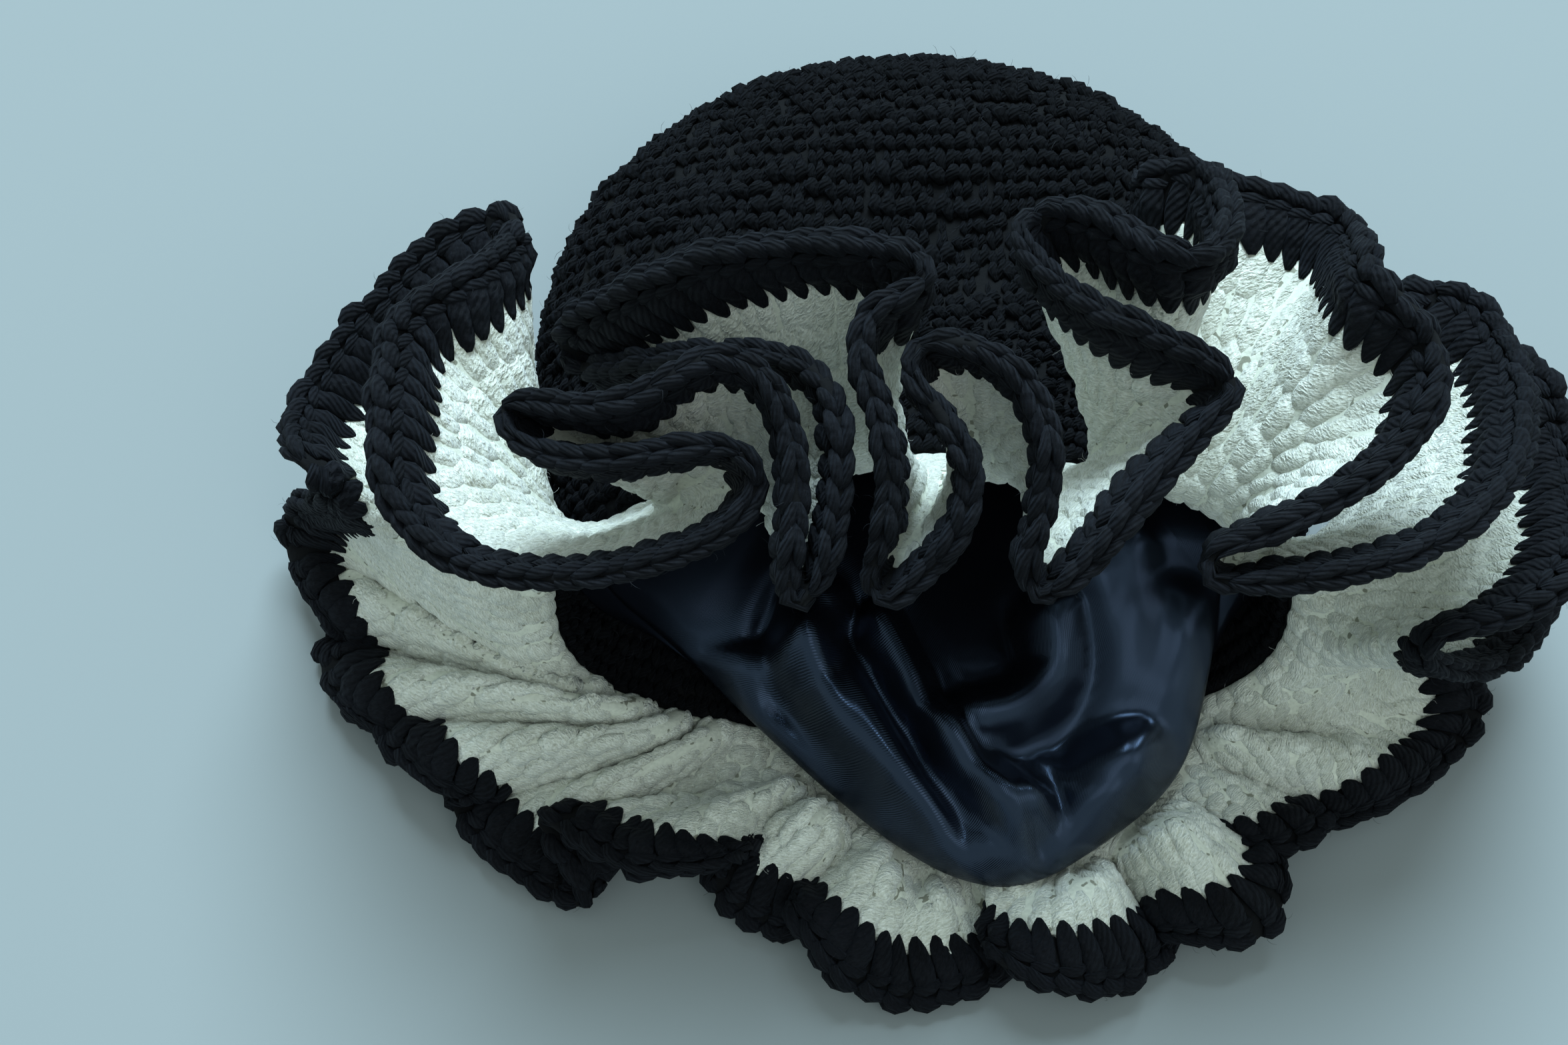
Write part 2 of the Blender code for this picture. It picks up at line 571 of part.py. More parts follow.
def make_strip(name, ruffle, thicknesses, colour, roughness):
    """A closed band over some rows of the ruffle, thinner where its folds press together."""
    vertices = []
    rings = []
    order = [(k, 1) for k in thicknesses] + [(k, -1) for k in reversed(thicknesses)]
    for k, side in order:
        room = np.minimum(ruffle.room[0 if side > 0 else 1][k], thicknesses[k] / 2)
        ring = ruffle.grid[k] + side * room[:, None] * ruffle.normals[k]
        ring[:, 2] = np.maximum(ring[:, 2], 0.0)
        rings.append(range(len(vertices), len(vertices) + len(ring)))
        vertices += list(ring)
    return new_object(name, vertices, ring_faces(rings, True), colour, roughness)


def make_brim(ruffle):
    rows = {k: brim_wall for k in range(brim_rows + 1)}
    return make_strip("brim", ruffle, rows, (0.62, 0.66, 0.64), 0.9)


def make_edging(ruffle):
    first = brim_rows + 1
    rows = {first: brim_wall, first + 1: edging_thickness, first + 2: edging_tip * edging_thickness}
    return make_strip("brim_edging", ruffle, rows, (0.012, 0.013, 0.016), 0.85)


def ground_height(ruffle, place):
    """Lowest height for the lining's middle above the crown's wall or the lying brim."""
    points = ruffle.grid[:brim_rows + 1].reshape(-1, 3)
    near = np.hypot(points[:, 0] - place[0], points[:, 1] - place[1]) < ground_reach
    near &= points[:, 2] < spill_rise / 2
    top = points[near][:, 2].max() + brim_wall / 2 if near.any() else 0.0
    return max(top, crown_wall) + lining_clearance + lining_wall / 2


def loop_rise(place):
    """Extra height of the roll of lining that stands up at the right of the mouth."""
    across = (place[0] - loop_across) / loop_half_width
    forward = (place[1] - loop_back) / loop_half_length
    return loop_height * math.exp(-across**2 - forward**2)


def lining_column(ruffle, angle):
    """A line of the lining from its seam to the bottom of its pocket."""
    inset = crown_wall + lining_clearance + lining_wall / 2
    seam_step = seam_depth / shoulder_depth
    seam = crown_surface(angle, seam_step, inset)
    share = min(max(angle / math.pi - 1, 0.0), 1.0) if angle > math.pi / 2 else 1.0
    table = np.array([row[1:] for row in hem_folds])
    scale = (spill_half_width, -spill_length, spill_rise)
    hem = np.array([np.interp(share, table[:, 0], table[:, k + 1]) * scale[k] for k in range(3)])
    pocket = np.array((0.0, pocket_depth, pocket_floor))
    spilled = 1 - smooth_step(math.sin(angle) / spill_ends)
    ridges = 0.5 + sum(high * math.exp(-((share - at) / wide) ** 2) for _, at, wide, high in spill_ridges)
    column = []
    for _, out, back, lift, crest, depth, fall in lining_steps:
        over = seam + (hem - seam) * out + (pocket - hem) * back
        over[2] = max(over[2], ground_height(ruffle, over))
        over[2] += spill_thickness * lift + crest * (spill_crest * ridges + loop_rise(over))
        inside = crown_surface(angle, seam_step + depth * (1 - seam_step), inset)
        inside += (pocket - inside) * fall
        column.append(over * spilled + inside * (1 - spilled))
    return column


def make_lining(ruffle):
    """A thin satin bag, its front spilled out over the brim."""
    over = math.pi * (0.5 - 0.5 * np.cos(np.linspace(0, math.pi, lining_over, endpoint=False)))
    over = 0.5 * over + 0.5 * np.linspace(0, math.pi, lining_over, endpoint=False)
    under = math.pi + np.linspace(0, math.pi, lining_under, endpoint=False)
    angles = np.concatenate((over, under))
    grid = np.array([lining_column(ruffle, angle) for angle in angles]).transpose(1, 0, 2)
    for row in grid[1:]:
        round_off(row, 2)
    pocket = np.array((0.0, pocket_depth, pocket_floor))
    normals = surface_normals(grid)
    cloud = grid_cloud(grid)
    vertices = []
    faces = []
    edges = []
    for side in (1, -1):
        room = ease(grid, free_room(grid, side * normals, cloud, lining_wall / 2))
        rings = []
        for k, line in enumerate(grid):
            rings.append(range(len(vertices), len(vertices) + len(line)))
            vertices += list(line + side * room[k][:, None] * normals[k])
        faces += ring_faces(rings, False)
        edges.append(rings[0])
        last = rings[-1]
        pole = len(vertices)
        vertices.append(pocket + side * lining_wall / 2 * normals[-1].mean(axis=0))
        faces += [(last[i], last[(i + 1) % len(last)], pole) for i in range(len(last))]
    faces += ring_faces(edges, False)
    return new_object("lining", vertices, faces, (0.02, 0.022, 0.03), 0.35)


def centre_all():
    """Moves the hat so that the middle of its box stands over the origin and it rests on the floor."""
    points = np.array([v.co for piece in bpy.data.objects for v in piece.data.vertices])
    low = points.min(axis=0)
    high = points.max(axis=0)
    shift = Vector((-(low[0] + high[0]) / 2, -(low[1] + high[1]) / 2, -low[2]))
    for piece in bpy.data.objects:
        piece.data.transform(Matrix.Translation(shift))


def main():
    for old in list(bpy.data.objects):
        bpy.data.objects.remove(old, do_unlink=True)
    ruffle = Ruffle()
    make_crown()
    make_brim(ruffle)
    make_edging(ruffle)
    make_lining(ruffle)
    centre_all()


main()
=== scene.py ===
# The crocheted bucket hat of the photograph: a black crown, a white ruffled brim with a black border
# and a charcoal satin lining that spills out of the mouth. Metres, +Z up, mouth towards -Y.
import math

import bmesh
import bpy
import numpy as np
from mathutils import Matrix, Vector


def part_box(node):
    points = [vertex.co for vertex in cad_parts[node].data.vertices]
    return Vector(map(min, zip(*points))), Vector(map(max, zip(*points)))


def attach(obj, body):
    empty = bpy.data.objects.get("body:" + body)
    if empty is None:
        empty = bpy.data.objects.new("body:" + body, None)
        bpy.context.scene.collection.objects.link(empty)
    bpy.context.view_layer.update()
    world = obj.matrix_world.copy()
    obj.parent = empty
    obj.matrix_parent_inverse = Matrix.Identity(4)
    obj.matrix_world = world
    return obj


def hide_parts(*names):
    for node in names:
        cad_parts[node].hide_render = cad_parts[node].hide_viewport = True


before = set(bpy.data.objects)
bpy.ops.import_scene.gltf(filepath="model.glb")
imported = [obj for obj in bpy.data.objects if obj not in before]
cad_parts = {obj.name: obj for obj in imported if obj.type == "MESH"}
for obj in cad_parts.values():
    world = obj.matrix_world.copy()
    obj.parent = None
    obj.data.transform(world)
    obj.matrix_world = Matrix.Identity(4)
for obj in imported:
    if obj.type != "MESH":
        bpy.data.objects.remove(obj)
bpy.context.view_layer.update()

# Mouth of the hat, as it lies flattened
mouth_half_width = 0.121
mouth_height = 0.108
mouth_setback = 0.056

# Crown
crown_half_width = 0.125
crown_height = 0.112
crown_depth = 0.203
shoulder_depth = 0.085
crown_tip_height = 0.050
crown_wall = 0.0055
crown_settle = 0.0015
dent_depth = 0.020
dent_half_width = 0.070
dent_half_length = 0.042
dent_distance = 0.105
dent_fade = 0.046
underside_flatness = 0.78
closing_side_power = 0.95
closing_floor_power = 0.55

# Brim and its edging
brim_length = 0.097
brim_wall = 0.0042
edging_width = 0.017
edging_thickness = 0.0074
fold_softening = 0.110
softening_power = 2.5
fold_room = 0.70
room_reach = 2.5
room_slope = 0.5
room_passes = 6
fold_leave = 0.62
fold_arrive = 0.95
rim_flare = 0.35
rim_lift = 0.55
edging_bulge = 0.62
edging_tip = 0.70
least_rise = 0.05
view_elevation = math.radians(66)

# Lining: it is sewn a little way inside the mouth, and its front is pulled out over the brim
lining_wall = 0.0012
lining_clearance = 0.0010
seam_depth = 0.020
pocket_depth = 0.105
pocket_floor = 0.016
spill_half_width = 0.082
spill_length = 0.088
spill_rise = 0.066
spill_thickness = 0.009
spill_crest = 0.010
spill_ends = 0.26
ground_reach = 0.011
loop_height = 0.026
loop_across = 0.060
loop_back = 0.012
loop_half_width = 0.020
loop_half_length = 0.026

piece_gap = 0.0003

# Shares of the way out where the brim ends and its edging starts
brim_seam = 1 - (edging_width + 2 * piece_gap) / brim_length
edging_seam = 1 - edging_width / brim_length

# Grid counts
edge_samples = 1500
mouth_samples = 720
spline_steps = 24
edge_facets = 214
brim_rows = 5
brim_row_crowding = 1.15
row_softening = (0, 6, 8, 6, 4, 2, 2, 2, 2)
root_softening = 0.008
turn_softening = 0.0015
straight_facet = 0.034
facet_turn = math.radians(38)
lining_over = 14
lining_under = 26

# Directions of the standing ruffle: it faces a person who looks down into the mouth
across_axis = np.array((1.0, 0.0, 0.0))
back_axis = np.array((0.0, math.sin(view_elevation), math.cos(view_elevation)))
out_axis = np.array((0.0, -math.cos(view_elevation), math.sin(view_elevation)))

# Reach of the ruffle from the middle of the mouth, standing above and lying below
ruffle_reach = mouth_half_width + 0.60 * brim_length
skirt_reach = mouth_half_width + 0.81 * brim_length

# Share of the mouth, counted from its left end over the top, where the standing ruffle starts and ends
ruffle_start = 0.015
ruffle_end = 0.535

# Standing ruffle. A row for each fold: name, straight reach and extra lift as shares of the brim's
# length, and the middle of the edging at its turns, across and back from the top of the mouth, as
# shares of ruffle_reach
standing_folds = (
    ("left flap root", 0.95, 0.0, ((-1.0, -0.03),)),
    ("left flap outside", 1.0, 0.0, ((-1.055, -0.012), (-1.078, 0.045), (-1.062, 0.09), (-1.05, 0.139),
        (-1.026, 0.194), (-0.986, 0.242), (-0.929, 0.286), (-0.865, 0.327), (-0.812, 0.364),
        (-0.752, 0.412), (-0.692, 0.39))),
    ("left flap inside", 0.98, 0.0, ((-0.695, 0.325), (-0.742, 0.272), (-0.808, 0.236), (-0.865, 0.212),
        (-0.876, 0.162), (-0.864, 0.111), (-0.85, 0.076), (-0.861, 0.037), (-0.876, 0.004))),
    ("left front", 0.97, 0.0, ((-0.857, -0.039), (-0.85, -0.074), (-0.837, -0.12), (-0.81, -0.168),
        (-0.771, -0.201), (-0.729, -0.217), (-0.647, -0.213), (-0.581, -0.21), (-0.515, -0.201),
        (-0.451, -0.185), (-0.385, -0.165), (-0.33, -0.147), (-0.289, -0.12), (-0.277, -0.08),
        (-0.284, -0.029), (-0.308, 0.01), (-0.346, 0.028))),
    ("left second", 0.97, 0.0, ((-0.39, 0.012), (-0.442, -0.027), (-0.491, -0.052), (-0.552, -0.054),
        (-0.616, -0.03), (-0.662, 0.0), (-0.684, 0.036), (-0.67, 0.07))),
    ("first arch", 0.97, 0.0, ((-0.63, 0.08), (-0.598, 0.07), (-0.564, 0.05), (-0.517, 0.024),
        (-0.469, 0.03), (-0.434, 0.061), (-0.419, 0.099), (-0.389, 0.134), (-0.341, 0.153),
        (-0.29, 0.141), (-0.253, 0.102), (-0.222, 0.052), (-0.21, -0.008), (-0.22, -0.081),
        (-0.242, -0.145), (-0.268, -0.192))),
    ("behind first arch", 0.97, 0.0, ((-0.268, -0.236), (-0.228, -0.243), (-0.192, -0.185),
        (-0.168, -0.111), (-0.156, -0.046), (-0.16, 0.019), (-0.182, 0.078))),
    ("hidden run", 0.75, 0.0, ((-0.218, 0.124), (-0.284, 0.144), (-0.364, 0.15), (-0.444, 0.137),
        (-0.505, 0.118), (-0.555, 0.12))),
    ("back loop turn", 0.84, 0.0, ((-0.6, 0.15), (-0.594, 0.19))),
    ("back loop", 0.97, 0.0, ((-0.55, 0.212), (-0.506, 0.226), (-0.464, 0.246), (-0.414, 0.277),
        (-0.364, 0.295), (-0.277, 0.306), (-0.177, 0.311), (-0.09, 0.3), (-0.036, 0.274),
        (-0.016, 0.244), (-0.029, 0.217))),
    ("back loop return", 0.97, 0.0, ((-0.065, 0.204), (-0.112, 0.202), (-0.148, 0.188), (-0.17, 0.16),
        (-0.164, 0.128))),
    ("middle down", 0.97, 0.0, ((-0.136, 0.096), (-0.106, 0.061), (-0.08, 0.014), (-0.062, -0.033),
        (-0.067, -0.083), (-0.095, -0.133), (-0.128, -0.172), (-0.138, -0.21), (-0.104, -0.235))),
    ("middle up", 0.97, 0.0, ((-0.054, -0.206), (-0.004, -0.166), (0.036, -0.124), (0.058, -0.076),
        (0.054, -0.019), (0.021, 0.019), (-0.021, 0.047), (-0.064, 0.074), (-0.092, 0.105),
        (-0.084, 0.14))),
    ("second arch", 0.97, 0.0, ((-0.046, 0.159), (0.006, 0.165), (0.061, 0.159), (0.106, 0.134),
        (0.138, 0.089), (0.161, 0.039), (0.171, -0.011), (0.156, -0.061), (0.126, -0.104),
        (0.096, -0.151), (0.082, -0.198), (0.111, -0.229))),
    ("curled end", 0.95, 0.0, ((0.156, -0.216), (0.201, -0.171), (0.241, -0.121), (0.256, -0.066),
        (0.281, -0.016), (0.344, 0.022), (0.395, 0.045), (0.422, 0.08))),
    ("right slope", 0.97, 0.0, ((0.402, 0.115), (0.366, 0.131), (0.32, 0.138), (0.266, 0.152),
        (0.216, 0.169), (0.168, 0.194), (0.136, 0.226), (0.111, 0.261), (0.104, 0.296), (0.118, 0.329))),
    ("ring", 1.0, 0.03, ((0.158, 0.355), (0.203, 0.359), (0.246, 0.348), (0.272, 0.325), (0.284, 0.288),
        (0.305, 0.25), (0.337, 0.231), (0.373, 0.232), (0.412, 0.257), (0.442, 0.295), (0.455, 0.34),
        (0.462, 0.39), (0.44, 0.426), (0.407, 0.438), (0.37, 0.43))),
    ("under ring", 0.9, -0.12, ((0.34, 0.42), (0.373, 0.435), (0.428, 0.445), (0.483, 0.435))),
    ("right top", 1.0, -0.04, ((0.533, 0.42), (0.573, 0.41), (0.614, 0.396), (0.657, 0.382),
        (0.692, 0.355))),
    ("right notch", 1.0, 0.0, ((0.669, 0.313), (0.635, 0.284), (0.623, 0.249), (0.645, 0.217),
        (0.69, 0.206), (0.736, 0.183), (0.757, 0.135), (0.755, 0.076), (0.733, 0.012), (0.664, -0.051),
        (0.591, -0.092), (0.51, -0.117), (0.444, -0.134), (0.391, -0.145), (0.352, -0.168))),
    ("right petal", 1.0, 0.0, ((0.38, -0.204), (0.44, -0.212), (0.525, -0.196), (0.621, -0.188),
        (0.719, -0.18), (0.806, -0.148), (0.865, -0.09), (0.899, -0.023), (0.934, 0.048), (0.95, 0.119),
        (0.952, 0.185), (0.938, 0.235), (0.9, 0.265), (0.855, 0.262))),
    ("petal tip", 1.0, -0.12, ((0.825, 0.25),)),
    ("under petal", 1.0, -0.25, ((0.85, 0.275), (0.91, 0.3), (0.965, 0.285), (1.005, 0.235),
        (1.025, 0.175))),
    ("outer petal", 1.0, 0.0, ((1.04, 0.133), (1.074, 0.09), (1.087, 0.033), (1.089, -0.024),
        (1.078, -0.087), (1.055, -0.138), (1.029, -0.178))),
    ("outer petal side", 0.95, 0.0, ((0.99, -0.216), (0.942, -0.25))),
    ("outer petal end", 0.88, 0.0, ((0.884, -0.27), (0.832, -0.278))),
    ("petal fold", 0.78, 0.0, ((0.782, -0.286), (0.766, -0.314))),
    ("last petal", 0.62, 0.0, ((0.792, -0.342), (0.84, -0.36), (0.915, -0.37))),
    ("last petal corner", 0.76, 0.0, ((0.995, -0.362),)),
    ("last petal side", 0.85, -0.03, ((1.045, -0.33), (1.083, -0.285), (1.109, -0.232), (1.125, -0.18),
        (1.125, -0.12))),
)

# Lying part of the brim, right to left. A row for each lobe: name and the middle of the edging at its
# turns, across, forward of the mouth's middle and lifted off the table, as shares of skirt_reach
lying_folds = (
    ("right side", ((1.015, -0.15, 0.195), (0.99, -0.085, 0.155), (0.955, -0.03, 0.1),
        (0.905, 0.01, 0.075))),
    ("lobe 1", ((0.865, 0.045, 0.065), (0.91, 0.07, 0.05), (0.925, 0.115, 0.04), (0.89, 0.175, 0.04),
        (0.81, 0.225, 0.055), (0.748, 0.24, 0.075), (0.712, 0.252, 0.062))),
    ("lobe 2", ((0.692, 0.282, 0.04), (0.66, 0.32, 0.012), (0.61, 0.34, 0.045), (0.57, 0.34, 0.075),
        (0.54, 0.35, 0.065))),
    ("lobe 3", ((0.55, 0.4, 0.035), (0.56, 0.445, 0.012), (0.52, 0.48, 0.04), (0.465, 0.475, 0.07),
        (0.435, 0.46, 0.06))),
    ("lobe 4", ((0.405, 0.47, 0.012), (0.355, 0.495, 0.012))),
    ("lobe 5", ((0.31, 0.52, 0.06), (0.26, 0.555, 0.05), (0.205, 0.57, 0.05), (0.16, 0.555, 0.08),
        (0.13, 0.525, 0.06))),
    ("lobe 6", ((0.095, 0.54, 0.012), (0.03, 0.56, 0.012), (-0.045, 0.565, 0.012), (-0.11, 0.55, 0.045),
        (-0.16, 0.505, 0.08), (-0.19, 0.47, 0.065))),
    ("lobe 7", ((-0.23, 0.47, 0.012), (-0.27, 0.435, 0.012))),
    ("lobe 8", ((-0.305, 0.405, 0.075), (-0.355, 0.43, 0.11), (-0.415, 0.42, 0.14), (-0.49, 0.37, 0.155),
        (-0.55, 0.32, 0.155), (-0.59, 0.285, 0.145))),
    ("lobe 9", ((-0.595, 0.285, 0.11), (-0.562, 0.325, 0.095), (-0.51, 0.372, 0.08),
        (-0.485, 0.41, 0.05), (-0.55, 0.425, 0.021), (-0.62, 0.378, 0.021), (-0.69, 0.315, 0.021),
        (-0.74, 0.265, 0.04))),
    ("lobe 10", ((-0.775, 0.238, 0.06), (-0.815, 0.235, 0.07), (-0.848, 0.205, 0.078),
        (-0.865, 0.16, 0.078), (-0.878, 0.125, 0.06))),
    ("lobe 11", ((-0.9, 0.105, 0.04), (-0.94, 0.095, 0.012), (-0.97, 0.055, 0.012),
        (-0.985, 0.005, 0.04), (-0.975, -0.045, 0.065))),
    ("lobe 12", ((-0.98, -0.075, 0.05), (-1.015, -0.11, 0.04), (-1.045, -0.155, 0.05),
        (-1.055, -0.2, 0.07), (-1.045, -0.235, 0.11), (-1.012, -0.23, 0.17), (-0.962, -0.175, 0.245),
        (-0.925, -0.115, 0.32), (-0.885, -0.07, 0.41), (-0.858, -0.05, 0.51))),
)

# Hem of the spilled lining, right to left. A row for each part: name, share of the lower half of the
# mouth, across as a share of spill_half_width, forward of spill_length and lifted of spill_rise
hem_folds = (
    ("right end", 0.00, 1.14, -0.12, 0.66),
    ("beside the loop", 0.06, 1.16, -0.03, 0.62),
    ("loop foot", 0.11, 1.15, 0.08, 0.58),
    ("right corner", 0.16, 1.12, 0.18, 0.52),
    ("right side", 0.25, 1.09, 0.37, 0.36),
    ("right front", 0.33, 1.01, 0.56, 0.28),
    ("front dip", 0.42, 0.80, 0.73, 0.25),
    ("beside the tip", 0.49, 0.52, 0.89, 0.22),
    ("tip", 0.55, 0.33, 1.00, 0.20),
    ("past the tip", 0.59, 0.07, 0.94, 0.20),
    ("left front", 0.63, -0.22, 0.73, 0.20),
    ("left side", 0.67, -0.44, 0.48, 0.22),
    ("left fold", 0.72, -0.73, 0.27, 0.23),
    ("left corner", 0.77, -0.88, 0.09, 0.27),
    ("left rim", 0.86, -1.05, -0.03, 0.38),
    ("left end", 1.00, -1.28, -0.15, 0.62),
)

# Way of the lining from its seam to the bottom of its pocket. A row for each step: name; for the
# spilled part the share of the way from seam to hem, from hem to pocket, and the rise as shares of
# spill_thickness and spill_crest; for the part left inside its depth step and share of the way down
lining_steps = (
    ("seam", 0.00, 0.0, 0.00, 0.0, 0.00, 0.00),
    ("lip", 0.30, 0.0, 0.00, 0.0, 0.12, 0.00),
    ("under side", 0.62, 0.0, 0.00, 0.0, 0.24, 0.00),
    ("under hem", 0.90, 0.0, 0.00, 0.0, 0.36, 0.00),
    ("hem", 1.00, 0.0, 0.40, 0.0, 0.48, 0.00),
    ("over hem", 1.00, 0.045, 1.00, 0.1, 0.60, 0.00),
    ("front slope", 1.00, 0.15, 1.15, 0.6, 0.72, 0.00),
    ("crest", 1.00, 0.27, 1.25, 0.9, 0.84, 0.00),
    ("behind the crest", 1.00, 0.39, 1.25, 1.0, 0.96, 0.00),
    ("back slope", 1.00, 0.51, 1.20, 0.8, 1.06, 0.08),
    ("over the lip", 1.00, 0.63, 1.10, 0.5, 1.12, 0.22),
    ("inside the mouth", 1.00, 0.75, 0.90, 0.2, 1.16, 0.42),
    ("pocket floor", 1.00, 0.86, 0.70, 0.05, 1.18, 0.64),
    ("pocket back", 1.00, 0.95, 0.50, 0.0, 1.18, 0.85),
)

# Ridges of the spilled lining: name, share of the lower half of the mouth, width and height as a
# share of spill_crest
spill_ridges = (
    ("left ridge", 0.69, 0.040, 0.7),
    ("middle ridge", 0.57, 0.045, 0.8),
    ("right roll", 0.34, 0.080, 0.5),
)

# Camera of the photograph, in the hat's own frame
camera_lens = 50.0
camera_sensor = 36.0
camera_place = (-0.044, -0.258, 0.695)

# Yarn: a stitch's width and a row's height, the share of a wall that is solid under its stitches, how
# far the solid middle runs on past the edge, and the least heights above the table
brim_stitch = 0.0066
brim_row = 0.0118
edging_stitch = 0.0071
crown_stitch = 0.0060
core_share = 0.55
brim_core_share = 0.83
cloth_step = 0.003
past_edge = 0.006
floor_gap = 0.0002
fibre_floor = 0.0001

# How unevenly the stitches are worked, with the shares of it that go sideways, up, into their height
# and into their thickness; where the laying starts and ends, and the band worked inside the mouth
brim_unevenness = 0.12
edging_unevenness = 0.08
crown_unevenness = 0.26
band_unevenness = 0.15
stray_across = 0.5
stray_up = 0.3
stray_height = 0.5
stray_thickness = 0.7
brim_laid_from = 0.004
crown_laid_to = 0.995
band_depth = 1.3 * seam_depth
outer_rows = 2
least_stitches = 6

# Finer grids of the cloths, and how near to its ends a form is sampled
brim_places = 22
edging_places = 12
crown_columns = 240
barrel_places = 16
dome_places = 24
crown_last_step = 1.985
lining_places = 80
lining_over_split = 4
lining_under_split = 6
lining_softening = 2
fold_samples = 40
core_stride = 2
grid_margin = 0.0005

# Folds of the satin: the share of its wall that is thick, how deep it dips beside them and how many half
# widths away, and the rows where they start and end, from the seam and from the pocket's bottom
lining_half_share = 0.35
fold_valley = 0.42
valley_place = 3.2
folds_from = 4.0
folds_grow = 1.5
folds_to = 2.5
folds_shrink = 3.0

# The table, the cloth under the stitches, and the painted shade in the cloth's holes
floor_colour = (0.25, 0.272, 0.278)
floor_roughness = 0.9
floor_specular = 0.1
floor_reach = 3.0
brim_core_colour = (0.66, 0.67, 0.58)
brim_hole_shade_colour = (0.24, 0.24, 0.19)
dark_core_colour = (0.002, 0.0022, 0.003)
core_roughness = 0.95
core_relief = 0.6
core_specular = 0.2
core_height = 0.0005
core_contrast = 0.25
hole_shade_range = (0.38, 0.34)

# Noises, with the scale and detail of each
core_noise = (700.0, 3.0)
hair_noise = (300.0, 3.0)
hole_shade_noise = (300.0, 1.0)
strand_noise = (2.6, 2.0)
fibre_noise = (900.0, 3.0)
lump_noise = (260.0, 1.0)
patch_noise = (60.0, 4.0)
satin_noise = (25.0, 2.0)

# Yarn: heights of its plies, coarse and fine fibres and lumps; how its tone follows the patches and the
# strands; how the strands run along and round it; and the scale of its relief
ply_height = 0.5
coarse_height = 0.7
fine_height = 0.5
lump_height = 3.0
patch_tone = 0.4
strand_tone = 0.9
tone_middle = 0.48
tone_contrast = 2.0
strand_along = 0.35
strand_round = 5.0
yarn_relief = 0.0006
yarn_specular = 0.08
sheen_roughness = 0.5

# Looks of the yarns: darkest and lightest colour, plies round a strand and their twist for each
# millimetre, height of the fibres, roughness, sheen and its tint
yarn_looks = {
    "brim_yarn": ((0.54, 0.54, 0.45), (0.96, 0.97, 0.91), 2.0, 0.08, 2.6, 0.95, 0.5, (0.95, 0.98, 1.0)),
    "edging_yarn": ((0.0006, 0.0006, 0.0009), (0.012, 0.013, 0.018), 8.0, 0.30, 0.8, 0.72, 0.03,
                    (0.55, 0.65, 0.85)),
    "crown_yarn": ((0.0003, 0.0003, 0.0004), (0.0050, 0.0054, 0.0072), 6.0, 0.40, 0.8, 0.85, 0.02,
                   (0.50, 0.58, 0.80)),
}

# Light: place, width, power in watts and colour of each lamp, and the sky
window_power = 560.0
room_power = 25.0
lamps = (
    ("window", (0.2, 3.2, 4.3), 3.4, window_power, (0.66, 0.88, 1.0)),
    ("room", (1.6, -2.0, 3.6), 3.0, room_power, (0.92, 0.98, 1.0)),
)
lamp_target = (0.0, 0.0, 0.05)
sky_colour = (0.78, 0.98, 0.98)
sky_strength = 0.64

# Satin: its colours and gloss, the painted shade that turns its gloss down from lit to the dark of the
# hollow, and its twill
satin_dark = (0.0020, 0.0023, 0.0035)
satin_light = (0.0045, 0.0055, 0.0085)
satin_tint = (0.44, 0.62, 1.0)
satin_gloss = 0.76
satin_roughness = 0.24
satin_shade_gloss = 0.12
satin_shade_front = -0.052
satin_shade_back = -0.020
satin_shade_left = -0.088
satin_lit_left = -0.064
satin_shade_height = 0.042
satin_lit_height = 0.062
hollow_half_width = 0.026
hollow_middle = 0.019
hollow_front = -0.066
hollow_fade = 0.010
hollow_core = 0.6
hollow_shade_strength = 0.85
twill_lines = 1400
twill_strength = 0.25
twill_height = 0.00015
satin_round = 0.5
satin_out = 0.2

# Clefts between the lobes of the lying brim, right to left. A row for each: name, where it meets the
# edge, across and forward as shares of skirt_reach, then its half width along the edge, its depth, how
# far and how high the lobe beside it laps over, as shares of brim_length, and the side that lies on top,
# 1 for the left lobe and -1 for the right one
cleft_start = 0.25
cleft_height = 0.022
lap_slope = 2.33
lap_crest = 0.9
lobe_top = 1.7
lobe_fall = 1.3
lobe_swell = 0.015
swell_skew = 0.9
swell_power = 0.8
lining_margin = 0.003
lining_fade = 0.008
lining_end_angle = 0.1
lining_samples = 29
lobe_clefts = (
    ("first cleft", 0.715, 0.305, 0.15, 0.10, 0.10, 0.10, 1),
    ("second cleft", 0.556, 0.359, 0.16, 0.17, 0.12, 0.12, 1),
    ("third cleft", 0.400, 0.450, 0.11, 0.07, 0.06, 0.06, -1),
    ("fourth cleft", 0.131, 0.546, 0.16, 0.14, 0.11, 0.11, -1),
    ("fifth cleft", -0.205, 0.475, 0.13, 0.13, 0.09, 0.11, -1),
    ("sixth cleft", -0.370, 0.430, 0.14, 0.24, 0.12, 0.08, 1),
    ("eighth cleft", -0.763, 0.246, 0.14, 0.12, 0.10, 0.10, 1),
    ("ninth cleft", -0.905, 0.150, 0.12, 0.08, 0.08, 0.09, 1),
    ("tenth cleft", -0.985, -0.040, 0.12, 0.10, 0.06, 0.06, 1),
)

